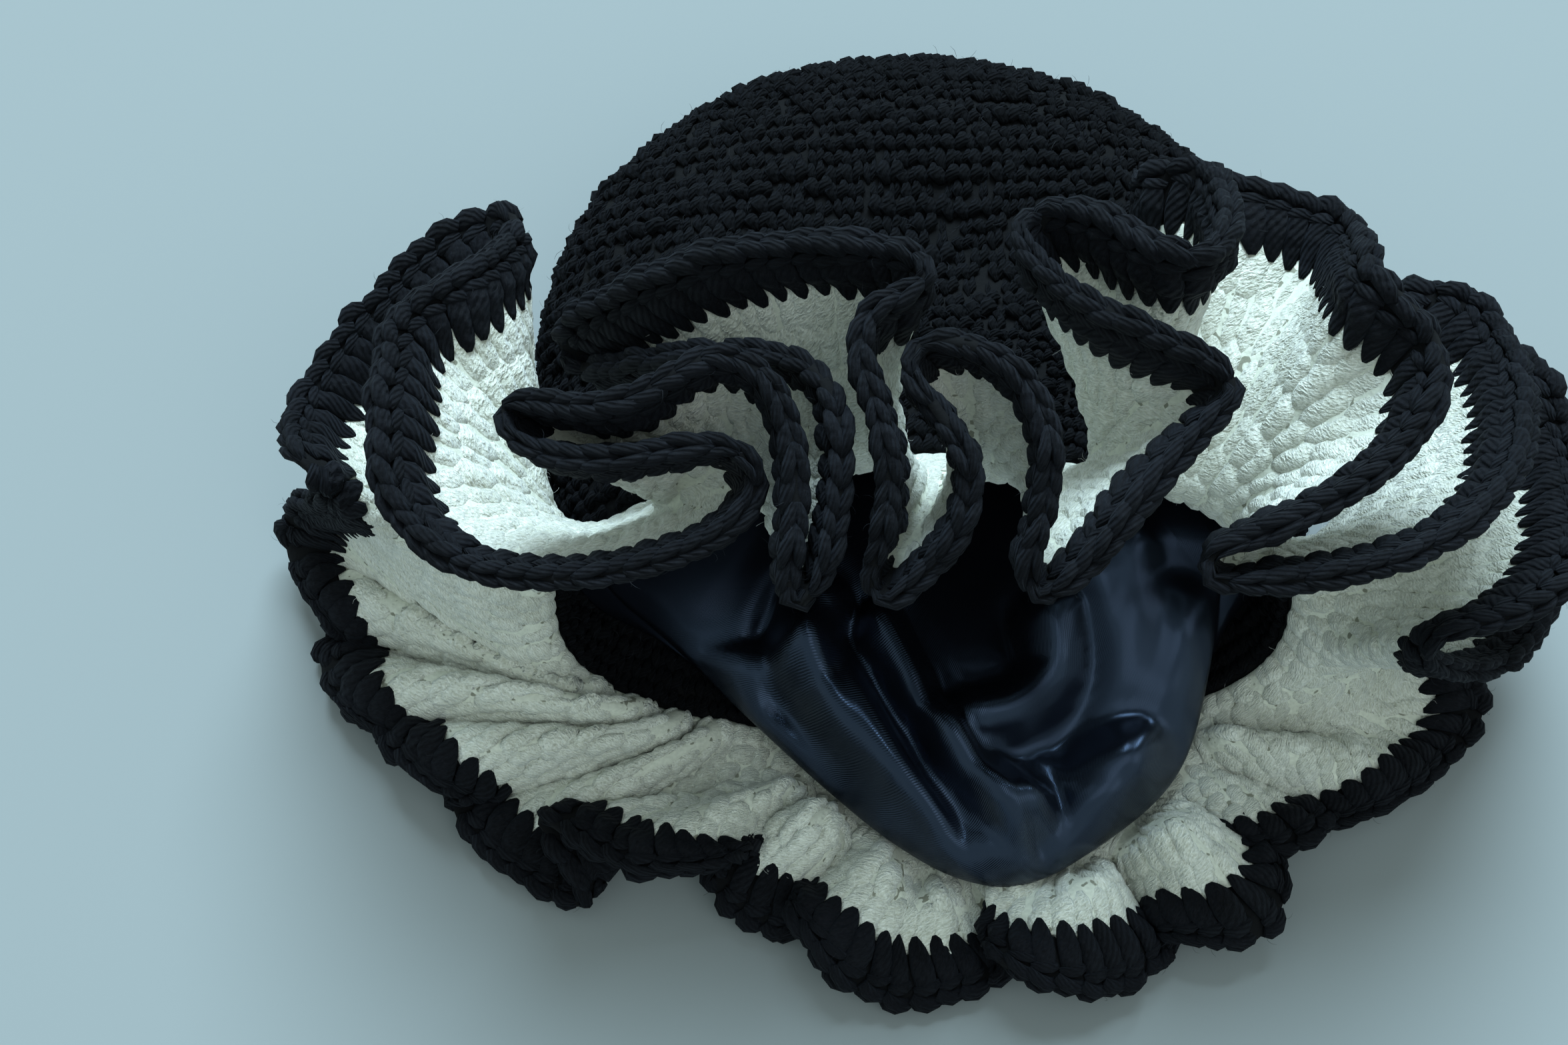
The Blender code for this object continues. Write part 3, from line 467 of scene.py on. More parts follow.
# Folds of the spilled lining as seen from above. A row for each: name, height as a share of
# spill_crest, half width as a share of spill_length, and its way as across and forward shares of
# spill_half_width and spill_length
satin_folds = (
    ("left fold", 1.15, 0.05, ((-0.41, -0.06), (-0.45, 0.09), (-0.34, 0.29), (-0.12, 0.58),
        (0.14, 0.88))),
    ("corner fold", 0.7, 0.045, ((-0.82, 0.2), (-0.62, 0.16), (-0.45, 0.09))),
    ("middle fold", 1.0, 0.034, ((-0.16, 0.0), (-0.07, 0.18), (0.09, 0.5), (0.26, 0.74), (0.37, 0.92))),
    ("long fold", 0.3, 0.03, ((-0.26, 0.1), (-0.14, 0.42), (0.08, 0.7), (0.28, 0.96))),
    ("turned fold", 1.15, 0.044, ((0.49, 0.02), (0.51, 0.2), (0.36, 0.33), (0.14, 0.4), (0.2, 0.54),
        (0.38, 0.7))),
    ("front fold", 0.95, 0.07, ((0.38, 0.7), (0.6, 0.68), (0.8, 0.58))),
    ("side fold", 0.75, 0.08, ((0.8, 0.58), (0.92, 0.36), (1.0, 0.12))),
    ("left band", 0.55, 0.05, ((-0.78, 0.34), (-0.52, 0.52), (-0.2, 0.84), (0.04, 0.97))),
    ("right band", 0.6, 0.045, ((0.22, 0.9), (0.48, 0.86), (0.72, 0.74))),
)

# Strands of the stitches: points across and up in millimetres and out in shares of half the cloth's
# thickness; half widths in millimetres; half thicknesses in the same shares; and the sides and rings
brim_post = [
    ([(-0.9, -2.0, 0.0), (-0.5, 0.6, 0.0), (0.2, 3.3, 0.0), (0.6, 6.0, 0.0), (0.5, 8.7, 0.0),
      (-0.1, 11.4, 0.0), (-0.9, 13.8, 0.0)],
     (2.2, 3.7, 4.3, 4.0, 4.2, 3.7, 2.2), (0.85, 1.26, 1.54, 1.30, 1.50, 1.24, 0.80), 12, 9),
]
edging_leg = [
    ([(3.4, -4.2, 1.25), (2.9, -2.0, 1.42), (1.9, 0.9, 1.26), (1.0, 4.6, 1.00), (0.1, 9.0, 0.76),
      (-0.6, 12.6, 0.62)],
     (1.1, 2.6, 3.5, 3.9, 3.7, 2.7), (0.36, 0.68, 0.72, 0.60, 0.48, 0.36), 9, 7),
]
edging_bar = [
    ([(-4.4, 9.6, 0.72), (-0.8, 11.2, 0.98), (3.8, 12.4, 0.74)], (1.3, 2.5, 1.3), (0.25, 0.42, 0.25), 5, 4),
]
edging_arm = [
    ([(-5.4, 14.2, 0.10), (-2.4, 16.0, 0.42), (1.4, 16.2, 0.80), (4.8, 14.2, 0.84)],
     (1.9, 2.9, 2.9, 1.9), (0.42, 0.72, 0.72, 0.42), 7, 5),
]
crown_arms = [
    ([(-0.6, -0.9, 0.7), (-1.9, 2.0, 1.16), (-1.6, 5.6, 0.8)], (0.9, 2.2, 1.0), (0.25, 0.52, 0.25), 5, 3),
    ([(0.2, 0.1, 0.7), (1.7, 2.6, 1.12), (2.0, 6.6, 0.8)], (0.9, 2.0, 0.9), (0.25, 0.52, 0.25), 5, 3),
]

# Stray fibres: colour and roughness of each kind, and a row for each piece with its name, density for
# each square metre, seed, least and most size, and kind
hair_points = ((0, 0, -0.0004), (0.0003, 0, 0.0012), (0.0013, 0.0002, 0.0021), (0.0027, 0.0005, 0.0023))
hair_radius = 0.000045
hair_end = 0.4
hair_side = (0.3, 0.9, 0.2)
hair_tilt = 0.5
fibre_looks = {"pale_fibre": ((0.80, 0.82, 0.80), 0.9), "dark_fibre": ((0.020, 0.022, 0.028), 0.8)}
stray_fibres = (
    ("inner_fibres", 4800.0, 10, 0.4, 0.9, "pale_fibre"),
    ("outer_fibres", 5000.0, 11, 0.4, 1.0, "pale_fibre"),
    ("edging_fibres", 5200.0, 12, 0.4, 1.2, "dark_fibre"),
    ("crown_fibres", 5200.0, 13, 0.5, 1.5, "dark_fibre"),
)


def smooth_step(share):
    """A smooth rise from 0 to 1."""
    share = min(max(share, 0.0), 1.0)
    return share * share * (3 - 2 * share)


def section_point(angle, half_width, half_height):
    """A point of a flattened oval; angle 0 is its left end and a quarter turn is its top."""
    rise = math.sin(angle)
    flatness = underside_flatness if rise < 0 else 1.0
    return -half_width * math.cos(angle), half_height * math.copysign(abs(rise) ** flatness, rise)


def even_angles(count):
    """Angles that walk round the mouth in steps of equal length."""
    fine = np.linspace(0, 2 * math.pi, 2 * mouth_samples + 1)
    points = np.array([section_point(a, mouth_half_width, mouth_height / 2) for a in fine])
    steps = np.hypot(*np.diff(points, axis=0).T)
    walked = running(steps) / steps.sum()
    return np.interp(np.arange(count) / count, walked, fine)


def angle_at(shares):
    """The oval's angle at shares of the way round the mouth."""
    table = np.append(even_angles(mouth_samples), 2 * math.pi)
    return np.interp(np.mod(shares, 1.0), np.linspace(0, 1, mouth_samples + 1), table)


def crown_point(angle, depth_step):
    """Outer surface of the crown; depth_step 0 is the mouth, 1 the shoulder and 2 the tip."""
    barrel = min(depth_step, 1.0)
    close = max(depth_step - 1.0, 0.0) * math.pi / 2
    spread = smooth_step(barrel)
    half_width = mouth_half_width + (crown_half_width - mouth_half_width) * spread
    height = mouth_height + (crown_height - mouth_height) * spread
    x, z = section_point(angle, half_width, height / 2)
    y = shoulder_depth * barrel + mouth_setback * z / height * (1 - spread)
    z += height / 2
    if close > 0:
        shrink = math.cos(close)
        x *= shrink ** closing_side_power
        y += (crown_depth - shoulder_depth) * math.sin(close)
        keep = shrink if z > crown_tip_height else shrink ** closing_floor_power
        z = crown_tip_height + (z - crown_tip_height) * keep
    if z > crown_tip_height:
        away = (x / dent_half_width) ** 2 + ((y - dent_distance) / dent_half_length) ** 2
        top_share = smooth_step((z - crown_tip_height) / dent_fade)
        z -= dent_depth * math.exp(-away) * top_share
    return np.array((x, y, max(z - crown_settle, 0.0)))


def crown_surface(angle, depth_step, inset):
    """A point of the crown's wall, inset from its outer surface."""
    here = crown_point(angle, depth_step)
    if depth_step >= 2:
        return here - np.array((0, inset, 0))
    small = 0.01
    low = max(depth_step - small, 0.0)
    along = crown_point(angle, depth_step + small) - crown_point(angle, low)
    around = crown_point(angle + small, depth_step) - crown_point(angle - small, depth_step)
    normal = np.cross(around, along)
    return here - inset * normal / np.linalg.norm(normal)


def rim_line(shares):
    """The middle of the crown's wall round the mouth, where the brim is worked on."""
    return np.array([crown_surface(a, 0.0, crown_wall / 2) for a in angle_at(shares)])


def rim_inward(shares):
    """Across the crown's wall at the mouth, from its outer to its inner surface."""
    walls = [[crown_surface(a, 0.0, inset) for a in angle_at(shares)] for inset in (0.0, crown_wall)]
    return (np.array(walls[1]) - np.array(walls[0])) / crown_wall


def rim_direction(shares):
    """The way the crown's wall points as it leaves the mouth: forward, and a little up at the top."""
    lift = 0.5 + 0.5 * np.sin(angle_at(shares))
    flare = -rim_flare * np.cos(angle_at(shares))
    way = np.stack((flare, -np.ones_like(lift), rim_lift * lift), axis=1)
    return unit(way)


def round_steps(line):
    """Lengths of the steps of a closed line."""
    return np.linalg.norm(np.roll(line, -1, axis=0) - line, axis=1)


def running(steps):
    """How far along a line each of its points lies, from the lengths of its steps."""
    return np.concatenate(([0], np.cumsum(steps)))


def unit(vectors):
    """Vectors of the same directions with a length of 1."""
    return vectors / np.linalg.norm(vectors, axis=-1, keepdims=True)


def curve_weights(t):
    """Weights of a smooth curve's start, of its slope there, of its end and of its slope there."""
    return 2 * t**3 - 3 * t**2 + 1, t**3 - 2 * t**2 + t, 3 * t**2 - 2 * t**3, t**3 - t**2


def closed_spline(points, count):
    """Evenly spaced points on a smooth closed curve through the given ones."""
    fine = smooth_columns(points[None], [spline_steps] * len(points))[0]
    fine = np.concatenate((fine, fine[:1]))
    walked = running(np.linalg.norm(np.diff(fine, axis=0), axis=1))
    places = np.arange(count) * walked[-1] / count
    return np.stack([np.interp(places, walked, fine[:, k]) for k in range(fine.shape[1])], axis=1)


def walk_shares(flat_points):
    """How far along a chain of points each one lies, from 0 to 1."""
    steps = np.linalg.norm(np.diff(flat_points, axis=0), axis=1)
    return running(steps) / steps.sum()


def edge_rows():
    """The middle of the edging at each turn, with the share of the mouth that it grows from."""
    top = rim_line(np.array([0.25]))[0]
    middle_length = brim_length - edging_width / 2
    flat = []
    reach = []
    for _, share, lift, turns in standing_folds:
        for across, back in turns:
            flat.append((across * ruffle_reach, back * ruffle_reach))
            reach.append((share * middle_length, lift * brim_length))
    flat = np.array(flat)
    rounds = ruffle_start + (ruffle_end - ruffle_start) * walk_shares(flat)
    roots = rim_line(rounds)
    standing = []
    for (across, back), (length, lift), root in zip(flat, reach, roots):
        offset = root - top
        flat_gap = math.hypot(across - offset @ across_axis, back - offset @ back_axis)
        rise = math.sqrt(max(length**2 - flat_gap**2, (least_rise * brim_length) ** 2))
        place = top + across * across_axis + back * back_axis
        standing.append(place + (offset @ out_axis + rise + lift) * out_axis)
    lying = []
    for _, turns in lying_folds:
        for across, forward, lift in turns:
            lying.append((across * skirt_reach, -forward * skirt_reach, lift * skirt_reach))
    walked = walk_shares(np.array([standing[-1], *lying, standing[0]]))[1:-1]
    under = ruffle_end + (1 + ruffle_start - ruffle_end) * walked
    return np.array(standing + lying), np.concatenate((rounds, under))


def soften(values, spread):
    """Values round a closed line, averaged over a spread given as a share of the whole way round."""
    waves = np.fft.rfftfreq(len(values), 1 / len(values))
    fade = np.exp(-0.5 * (2 * math.pi * waves * spread) ** 2)
    return np.fft.irfft(np.fft.rfft(values, axis=0) * fade[:, None], len(values), axis=0)


class Ruffle:
    """The brim's middle surface: once round along the edge, and from the rim out to the edge."""

    def __init__(self):
        """Walks the edge, and draws the lines between the rim and it with their room."""
        rows, rounds = edge_rows()
        drift = rounds - walk_shares(np.concatenate((rows, rows[:1])))[:-1]
        line = closed_spline(np.column_stack((rows, drift)), edge_samples)
        self.edge = line[:, :3]
        self.rounds = soften(line[:, 3:], root_softening)[:, 0] + np.arange(edge_samples) / edge_samples
        self.length = round_steps(self.edge).sum()
        self.roots = rim_line(self.rounds)
        self.ways = rim_direction(self.rounds)
        self.roots = self.roots + self.ways * 2 * piece_gap
        self.middle = 1 - edging_width / 2 / brim_length
        self.shares = [brim_seam * (k / brim_rows) ** brim_row_crowding for k in range(brim_rows + 1)]
        self.shares += [1 - width * edging_width / brim_length for width in (1.0, edging_bulge, 0.0)]
        picks = self.picks(edge_facets)
        self.grid = np.array([self.line_at(share)[picks] for share in self.shares])
        for row, passes in zip(self.grid, row_softening):
            round_off(row, passes)
        self.normals = surface_normals(self.grid)
        self.normals[0] = rim_inward(self.rounds[picks])
        self.normals[brim_rows + 1] = self.normals[brim_rows]
        cloud = grid_cloud(self.grid)
        most = edging_thickness / 2
        self.room = []
        for side in (1, -1):
            room = free_room(self.grid, side * self.normals, cloud, most)
            self.room.append(ease(self.grid, room))

    def line_at(self, share):
        """The closed line at a share of the way from the rim to the outer edge."""
        t = share / self.middle
        spread = fold_softening * max(1 - t, 0.0) ** softening_power / self.length
        gap = soften(self.edge - self.roots, spread)
        if t > 1:
            return self.roots + gap + unit(gap) * (t - 1) * brim_length * self.middle
        leave = (t**3 - 2 * t**2 + t) * fold_leave * brim_length
        arrive = (t**3 - t**2) * fold_arrive
        return self.roots + leave * self.ways + (3 * t**2 - 2 * t**3 + arrive) * gap

    def picks(self, count):
        """Sample numbers along the edge, closer together where it turns."""
        step = np.roll(self.edge, -1, axis=0) - self.edge
        length = np.linalg.norm(step, axis=1)
        way = step / length[:, None]
        turn = np.arccos(np.clip((way * np.roll(way, 1, axis=0)).sum(axis=1), -1, 1))
        weight = length / straight_facet + soften(turn[:, None], turn_softening)[:, 0] / facet_turn
        walked = running(weight)
        places = np.arange(count) * walked[-1] / count
        return np.unique(np.interp(places, walked, np.arange(edge_samples + 1)).astype(int))


def round_off(line, passes):
    """Softens the corners of a closed line in place."""
    for _ in range(passes):
        line[:] = line / 2 + (np.roll(line, 1, axis=0) + np.roll(line, -1, axis=0)) / 4


def surface_normals(lines):
    """Unit normals of a surface given as closed lines, one after another outwards."""
    around = np.roll(lines, -1, axis=1) - np.roll(lines, 1, axis=1)
    outward = np.gradient(lines, axis=0)
    normal = np.cross(around, outward)
    return unit(normal)


def grid_cloud(grid):
    """Points spread over the facets of a surface given as closed lines."""
    beside = np.roll(grid, -1, axis=1)
    points = []
    for across in (0.0, 0.25, 0.5, 0.75):
        line = grid * (1 - across) + beside * across
        for out in (0.0, 0.2, 0.4, 0.6, 0.8, 1.0):
            points.append((line[:-1] * (1 - out) + line[1:] * out).reshape(-1, 3))
    return np.concatenate(points)


def free_room(grid, normals, cloud, most):
    """How far each point can move along its normal before it meets the cloth around it, up to most."""
    room = np.full(grid.shape[:2], most)
    for place in np.ndindex(room.shape):
        away = cloud - grid[place]
        square = (away**2).sum(axis=1)
        near = square < (room_reach * most) ** 2
        ahead = away[near] @ normals[place]
        facing = ahead > 1e-6
        if facing.any():
            limit = (square[near][facing] / (2 * ahead[facing])).min()
            room[place] = min(most, fold_room * limit)
    return room


def ease(grid, room):
    """Room that changes only gently from one point of a surface to the next."""
    for _ in range(room_passes):
        for axis, shift in ((1, 1), (1, -1)):
            gap = np.linalg.norm(np.roll(grid, shift, axis=axis) - grid, axis=2)
            room = np.minimum(room, np.roll(room, shift, axis=axis) + room_slope * gap)
        gap = np.linalg.norm(np.diff(grid, axis=0), axis=2)
        room[1:] = np.minimum(room[1:], room[:-1] + room_slope * gap)
        room[:-1] = np.minimum(room[:-1], room[1:] + room_slope * gap)
    return room


def ground_height(ruffle, place):
    """Lowest height for the lining's middle above the crown's wall or the lying brim."""
    points = ruffle.grid[:brim_rows + 1].reshape(-1, 3)
    near = np.hypot(points[:, 0] - place[0], points[:, 1] - place[1]) < ground_reach
    near &= points[:, 2] < spill_rise / 2
    top = points[near][:, 2].max() + brim_wall / 2 if near.any() else 0.0
    return max(top, crown_wall) + lining_clearance + lining_wall / 2


def loop_rise(place):
    """Extra height of the roll of lining that stands up at the right of the mouth."""
    across = (place[0] - loop_across) / loop_half_width
    forward = (place[1] - loop_back) / loop_half_length
    return loop_height * math.exp(-across**2 - forward**2)


def lining_column(ruffle, angle):
    """A line of the lining from its seam to the bottom of its pocket."""
    inset = crown_wall + lining_clearance + lining_wall / 2
    seam_step = seam_depth / shoulder_depth
    seam = crown_surface(angle, seam_step, inset)
    share = min(max(angle / math.pi - 1, 0.0), 1.0) if angle > math.pi / 2 else 1.0
    table = np.array([row[1:] for row in hem_folds])
    scale = (spill_half_width, -spill_length, spill_rise)
    hem = np.array([np.interp(share, table[:, 0], table[:, k + 1]) * scale[k] for k in range(3)])
    pocket = np.array((0.0, pocket_depth, pocket_floor))
    spilled = 1 - smooth_step(math.sin(angle) / spill_ends)
    ridges = 0.5 + sum(high * math.exp(-((share - at) / wide) ** 2) for _, at, wide, high in spill_ridges)
    column = []
    for _, out, back, lift, crest, depth, fall in lining_steps:
        over = seam + (hem - seam) * out + (pocket - hem) * back
        over[2] = max(over[2], ground_height(ruffle, over))
        over[2] += spill_thickness * lift + crest * (spill_crest * ridges + loop_rise(over))
        inside = crown_surface(angle, seam_step + depth * (1 - seam_step), inset)
        inside += (pocket - inside) * fall
        column.append(over * spilled + inside * (1 - spilled))
    return column


def centre_shift():
    """From the hat's own frame, with the mouth's middle at the front, to the frame of the model."""
    low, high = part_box("crown")
    return np.array((low[0] + crown_half_width, high[1] - crown_depth, 0.0))


def placed(name, data):
    """A new object at the origin."""
    made = bpy.data.objects.new(name, data)
    bpy.context.collection.objects.link(made)
    return made


def turned_out(mesh):
    """The same mesh with its faces turned outwards and shaded smooth."""
    build = bmesh.new()
    build.from_mesh(mesh)
    bmesh.ops.recalc_face_normals(build, faces=build.faces[:])
    build.to_mesh(mesh)
    build.free()
    mesh.shade_smooth()
    return mesh


def smooth_columns(grid, counts):
    """Points on smooth curves between the columns of a closed grid, counts of them after each."""
    gaps = round_steps(grid[-1]) ** 0.5
    before, here, after = np.roll(gaps, 1)[:, None], gaps[:, None], np.roll(gaps, -1)[:, None]
    first, second = grid, np.roll(grid, -1, axis=1)
    earlier, later = np.roll(grid, 1, axis=1), np.roll(grid, -2, axis=1)
    start = here * ((first - earlier) / before - (second - earlier) / (before + here)
                    + (second - first) / here)
    end = here * ((second - first) / here - (later - first) / (here + after) + (later - second) / after)
    pick = np.repeat(np.arange(len(counts)), counts)
    a, b, c, d = curve_weights(np.concatenate([np.arange(n) / n for n in counts])[:, None])
    return a * first[:, pick] + b * start[:, pick] + c * second[:, pick] + d * end[:, pick]


def even_columns(values, counts):
    """Values between the columns of a closed grid, in straight steps."""
    pick = np.repeat(np.arange(len(counts)), counts)
    t = np.concatenate([np.arange(n) / n for n in counts])
    return values[:, pick] * (1 - t) + np.roll(values, -1, axis=1)[:, pick] * t


def smooth_rows(grid, places, knots=None):
    """Rows of a grid at places between its knots, or its row numbers, on smooth curves."""
    if knots is None:
        knots = np.arange(len(grid), dtype=float)
    slopes = np.gradient(grid, knots, axis=0)
    k = np.clip(np.searchsorted(knots, places, side="right") - 1, 0, len(knots) - 2)
    span = (knots[k + 1] - knots[k])[:, None, None]
    a, b, c, d = curve_weights(((places - knots[k]) / (knots[k + 1] - knots[k]))[:, None, None])
    return a * grid[k] + b * span * slopes[k] + c * grid[k + 1] + d * span * slopes[k + 1]


def smooth_line(values, count):
    """An open line of values as count values on a smooth curve through them."""
    return smooth_rows(values[:, None, :], np.linspace(0, len(values) - 1, count))[:, 0]


class Form:
    """A cloth's middle surface as a fine closed grid, with the way to its upper and lower face."""

    def __init__(self, name, points, shares, rises, over, under):
        """Takes the grid, how far round and out its lines lie, and the ways to its faces."""
        self.points = points
        self.shares = shares
        self.rises = rises
        self.over = over
        self.under = under
        self.guide = self.make_guide(name)

    def make_guide(self, name):
        """A mesh with the grid as its UV map, which the stitches are laid on."""
        rows, columns = self.points.shape[:2]
        wide = columns + 1
        faces = [(r * wide + c, r * wide + c + 1, (r + 1) * wide + c + 1, (r + 1) * wide + c)
                 for r in range(rows - 1) for c in range(columns)]
        points, over, under = [np.concatenate((values, values[:, :1]), axis=1).reshape(-1, 3)
                               for values in (self.points, self.over, self.under)]
        mesh = bpy.data.meshes.new(name)
        mesh.from_pydata(points.tolist(), [], faces)
        flat = np.stack(np.meshgrid(np.append(self.shares, 1.0), self.rises), axis=2).reshape(-1, 2)
        corners = np.array([loop.vertex_index for loop in mesh.loops])
        mesh.uv_layers.new(name="UVMap").data.foreach_set("uv", flat[corners].ravel())
        for label, values in (("over", over), ("under", under)):
            add_vectors(mesh, label, values)
        return placed(name, mesh)


def add_vectors(mesh, label, values):
    """A named vector at each point of a mesh."""
    mesh.attributes.new(label, "FLOAT_VECTOR", "POINT").data.foreach_set("vector", values.ravel())


def clear_of_lining(ruffle, points):
    """1 where the brim lies free, falling to 0 under the spilled lining."""
    angles = np.linspace(math.pi + lining_end_angle, 2 * math.pi - lining_end_angle, lining_samples)
    columns = np.array([lining_column(ruffle, angle) for angle in angles]).transpose(1, 0, 2)
    places = np.linspace(0, len(columns) - 1, 4 * len(columns))
    spots = smooth_rows(columns, places).reshape(-1, 3)[:, :2]
    near = np.array([np.linalg.norm(row[:, None, :2] - spots, axis=2).min(axis=1) for row in points])
    share = np.clip((near - lining_margin) / lining_fade, 0, 1)
    return share * share * (3 - 2 * share)


def lap_clefts(fine, places, ruffle):
    """Draws the lying brim in at each cleft and laps the lobe beside it over the next one."""
    grow = np.array([smooth_step((place - cleft_start) / (1 - cleft_start)) for place in places])
    edge = fine[int(np.argmin(np.abs(places - 1)))]
    steps = round_steps(edge)
    walked = running(steps)[:-1]
    change = np.zeros_like(edge)
    hill = np.zeros(len(edge))
    for _, across, forward, wide, deep, lap, lift, side in lobe_clefts:
        place = np.array((across, -forward)) * skirt_reach
        away = np.linalg.norm(edge[:, :2] - place, axis=1) + (edge[:, 2] > cleft_height)
        nearest = int(np.argmin(away))
        s = (walked - walked[nearest] + steps.sum() / 2) % steps.sum() - steps.sum() / 2
        s /= wide * brim_length
        bell = np.exp(-(s**2))
        inward = -edge[nearest] * (1, 1, 0)
        inward /= np.linalg.norm(inward)
        along = (edge[(nearest + 4) % len(edge)] - edge[nearest - 4]) * (1, 1, 0)
        along /= np.linalg.norm(along)
        change += brim_length * deep * bell[:, None] * inward
        change -= brim_length * lap * (lap_slope * s * bell)[:, None] * along
        change[:, 2] += brim_length * lift * np.exp(-((s - lap_crest * side) ** 2))
        hill += np.exp(-((s - lobe_top) ** 2)) + np.exp(-((s + lobe_top) ** 2)) - lobe_fall * bell
    moved = fine + grow[:, None, None] * change
    swell = [math.sin(math.pi * min(place, 1.0) ** swell_skew) ** swell_power
             for place in np.maximum(places, 1e-6)]
    moved[:, :, 2] += lobe_swell * np.array(swell)[:, None] * hill * clear_of_lining(ruffle, moved)
    moved[:, :, 2] = np.maximum(moved[:, :, 2], np.minimum(fine[:, :, 2], brim_wall / 2))
    return moved


def ruffle_form(ruffle, shift):
    """The brim and its edging, from the mouth out to just past the edge."""
    beyond = past_edge / brim_length
    knots = np.array([*ruffle.shares, 1 + beyond])
    span = knots[-2] - knots[-3]
    last = ruffle.grid[-1] + (ruffle.grid[-1] - ruffle.grid[-2]) * beyond / span
    grid = np.concatenate((ruffle.grid, last[None]))
    counts = np.maximum(np.ceil(round_steps(ruffle.grid[-2]) / cloth_step).astype(int), 2)
    tip = edging_tip * edging_thickness
    halves = np.array([brim_wall] * (brim_rows + 2) + [edging_thickness, tip, tip])[:, None] / 2
    places = np.concatenate((np.linspace(0, brim_seam, brim_places),
                             np.linspace(edging_seam, 1 + beyond, edging_places)))
    fine = lap_clefts(smooth_rows(smooth_columns(grid, counts), places, knots), places, ruffle)
    normals = surface_normals(fine)
    faces = []
    for room, way in zip(ruffle.room, (1, -1)):
        room = np.concatenate((room, room[-1:]))
        room = even_columns(np.minimum(room, halves), counts)
        room = np.stack([np.interp(places, knots, room[:, c]) for c in range(room.shape[1])], axis=1)
        faces.append(way * room[:, :, None] * normals)
    steps = round_steps(fine[int(np.argmin(np.abs(places - ruffle.middle)))])
    shares = running(steps)[:-1] / steps.sum()
    return Form("ruffle_form", fine + shift, shares, places / (1 + beyond), *faces), 1 + beyond


def crown_form(shift):
    """The crown from the mouth to its tip."""
    angles = even_angles(crown_columns)
    turns = np.linspace(0, math.pi / 2, dome_places)[1:-1]
    steps = np.concatenate((np.linspace(0, 1, barrel_places), 2 - np.cos(turns), [crown_last_step]))
    outer, middle, inner = [np.array([[crown_surface(a, s, inset) for a in angles] for s in steps])
                            for inset in (0.0, crown_wall / 2, crown_wall)]
    walked = running(np.linalg.norm(np.diff(middle, axis=0), axis=2).mean(axis=1))
    form = Form("crown_form", middle + shift, np.arange(crown_columns) / crown_columns,
                walked / walked[-1], outer - middle, inner - middle)
    return form, walked[-1]


def bag_mesh(name, outer, inner, closed_end, material):
    """A closed cloth between two grids, open in the middle or drawn together at its last row."""
    rows, columns = outer.shape[:2]
    size = rows * columns
    last = size - columns
    vertices = np.concatenate((outer.reshape(-1, 3), inner.reshape(-1, 3)))
    faces = []
    for c in range(columns):
        k = (c + 1) % columns
        for low in range(0, last, columns):
            high = low + columns
            faces.append((low + c, low + k, high + k, high + c))
            faces.append((size + low + c, size + high + c, size + high + k, size + low + k))
        faces.append((c, size + c, size + k, k))
        if not closed_end:
            faces.append((last + c, last + k, size + last + k, size + last + c))
    if closed_end:
        faces.append(tuple(range(last, size)))
        faces.append(tuple(reversed(range(size + last, 2 * size))))
    mesh = bpy.data.meshes.new(name)
    mesh.from_pydata(vertices.tolist(), [], faces)
    piece = placed(name, turned_out(mesh))
    mesh.materials.append(material)
    return piece


def core_cloth(name, form, first, last, share, closed_end, material):
    """The solid middle of a crocheted cloth, which shows between its stitches."""
    rows = (form.rises >= first) & (form.rises <= last)
    points, over, under = [values[rows, ::core_stride] for values in (form.points, form.over, form.under)]
    faces = [points + share * over, points + share * under]
    for face in faces:
        face[:, :, 2] = np.maximum(face[:, :, 2], floor_gap)
    return bag_mesh(name, *faces, closed_end, material)


def tube(points, wide, thick, sides, rings):
    """Vertices, faces and UVs of a strand: its half width lies in the cloth, its half thickness across."""
    values = smooth_line(np.column_stack((points, wide, thick)), rings)
    points, wide, thick = values[:, :3], values[:, 3], values[:, 4]
    along = np.gradient(points, axis=0)
    along[:, 2] = 0
    along = unit(along)
    across = np.stack((along[:, 1], -along[:, 0], np.zeros(rings)), axis=1)
    length = running(np.linalg.norm(np.diff(points[:, :2], axis=0), axis=1))
    vertices = []
    for point, way, w, h in zip(points, across, wide, thick):
        for k in range(sides):
            turn = 2 * math.pi * k / sides
            vertices.append(point + way * w * math.cos(turn) + np.array((0, 0, h * math.sin(turn))))
    faces = []
    marks = []
    for r in range(rings - 1):
        for k in range(sides):
            a, b = r * sides + k, r * sides + (k + 1) % sides
            faces.append((a, b, b + sides, a + sides))
            marks += [(length[r], k / sides), (length[r], (k + 1) / sides),
                      (length[r + 1], (k + 1) / sides), (length[r + 1], k / sides)]
    last = (rings - 1) * sides
    faces += [tuple(reversed(range(sides))), tuple(range(last, last + sides))]
    marks += [(length[0], k / sides) for k in reversed(range(sides))]
    marks += [(length[-1], k / sides) for k in range(sides)]
    return vertices, faces, marks


def make_stitch(name, strands, width, height):
    """One stitch, made of strands: points in millimetres and in shares of the cloth's half thickness."""
    vertices = []
    faces = []
    marks = []
    for strand in strands:
        base = len(vertices)
        some, more, places = tube(*strand)
        vertices += some
        faces += [tuple(base + i for i in face) for face in more]
        marks += places
    mesh = bpy.data.meshes.new(name)
    scale = np.array((1 / (width * 1000), 1 / (height * 1000), 1.0))
    mesh.from_pydata([tuple(np.array(v) * scale) for v in vertices], [], faces)
    mesh.uv_layers.new(name="UVMap").data.foreach_set("uv", np.array(marks, dtype=float).ravel())
    return placed(name, turned_out(mesh))


def mirrored(strands):
    """The same strands on the other face of the cloth."""
    return [([(x, y, -z) for x, y, z in points], *rest) for points, *rest in strands]


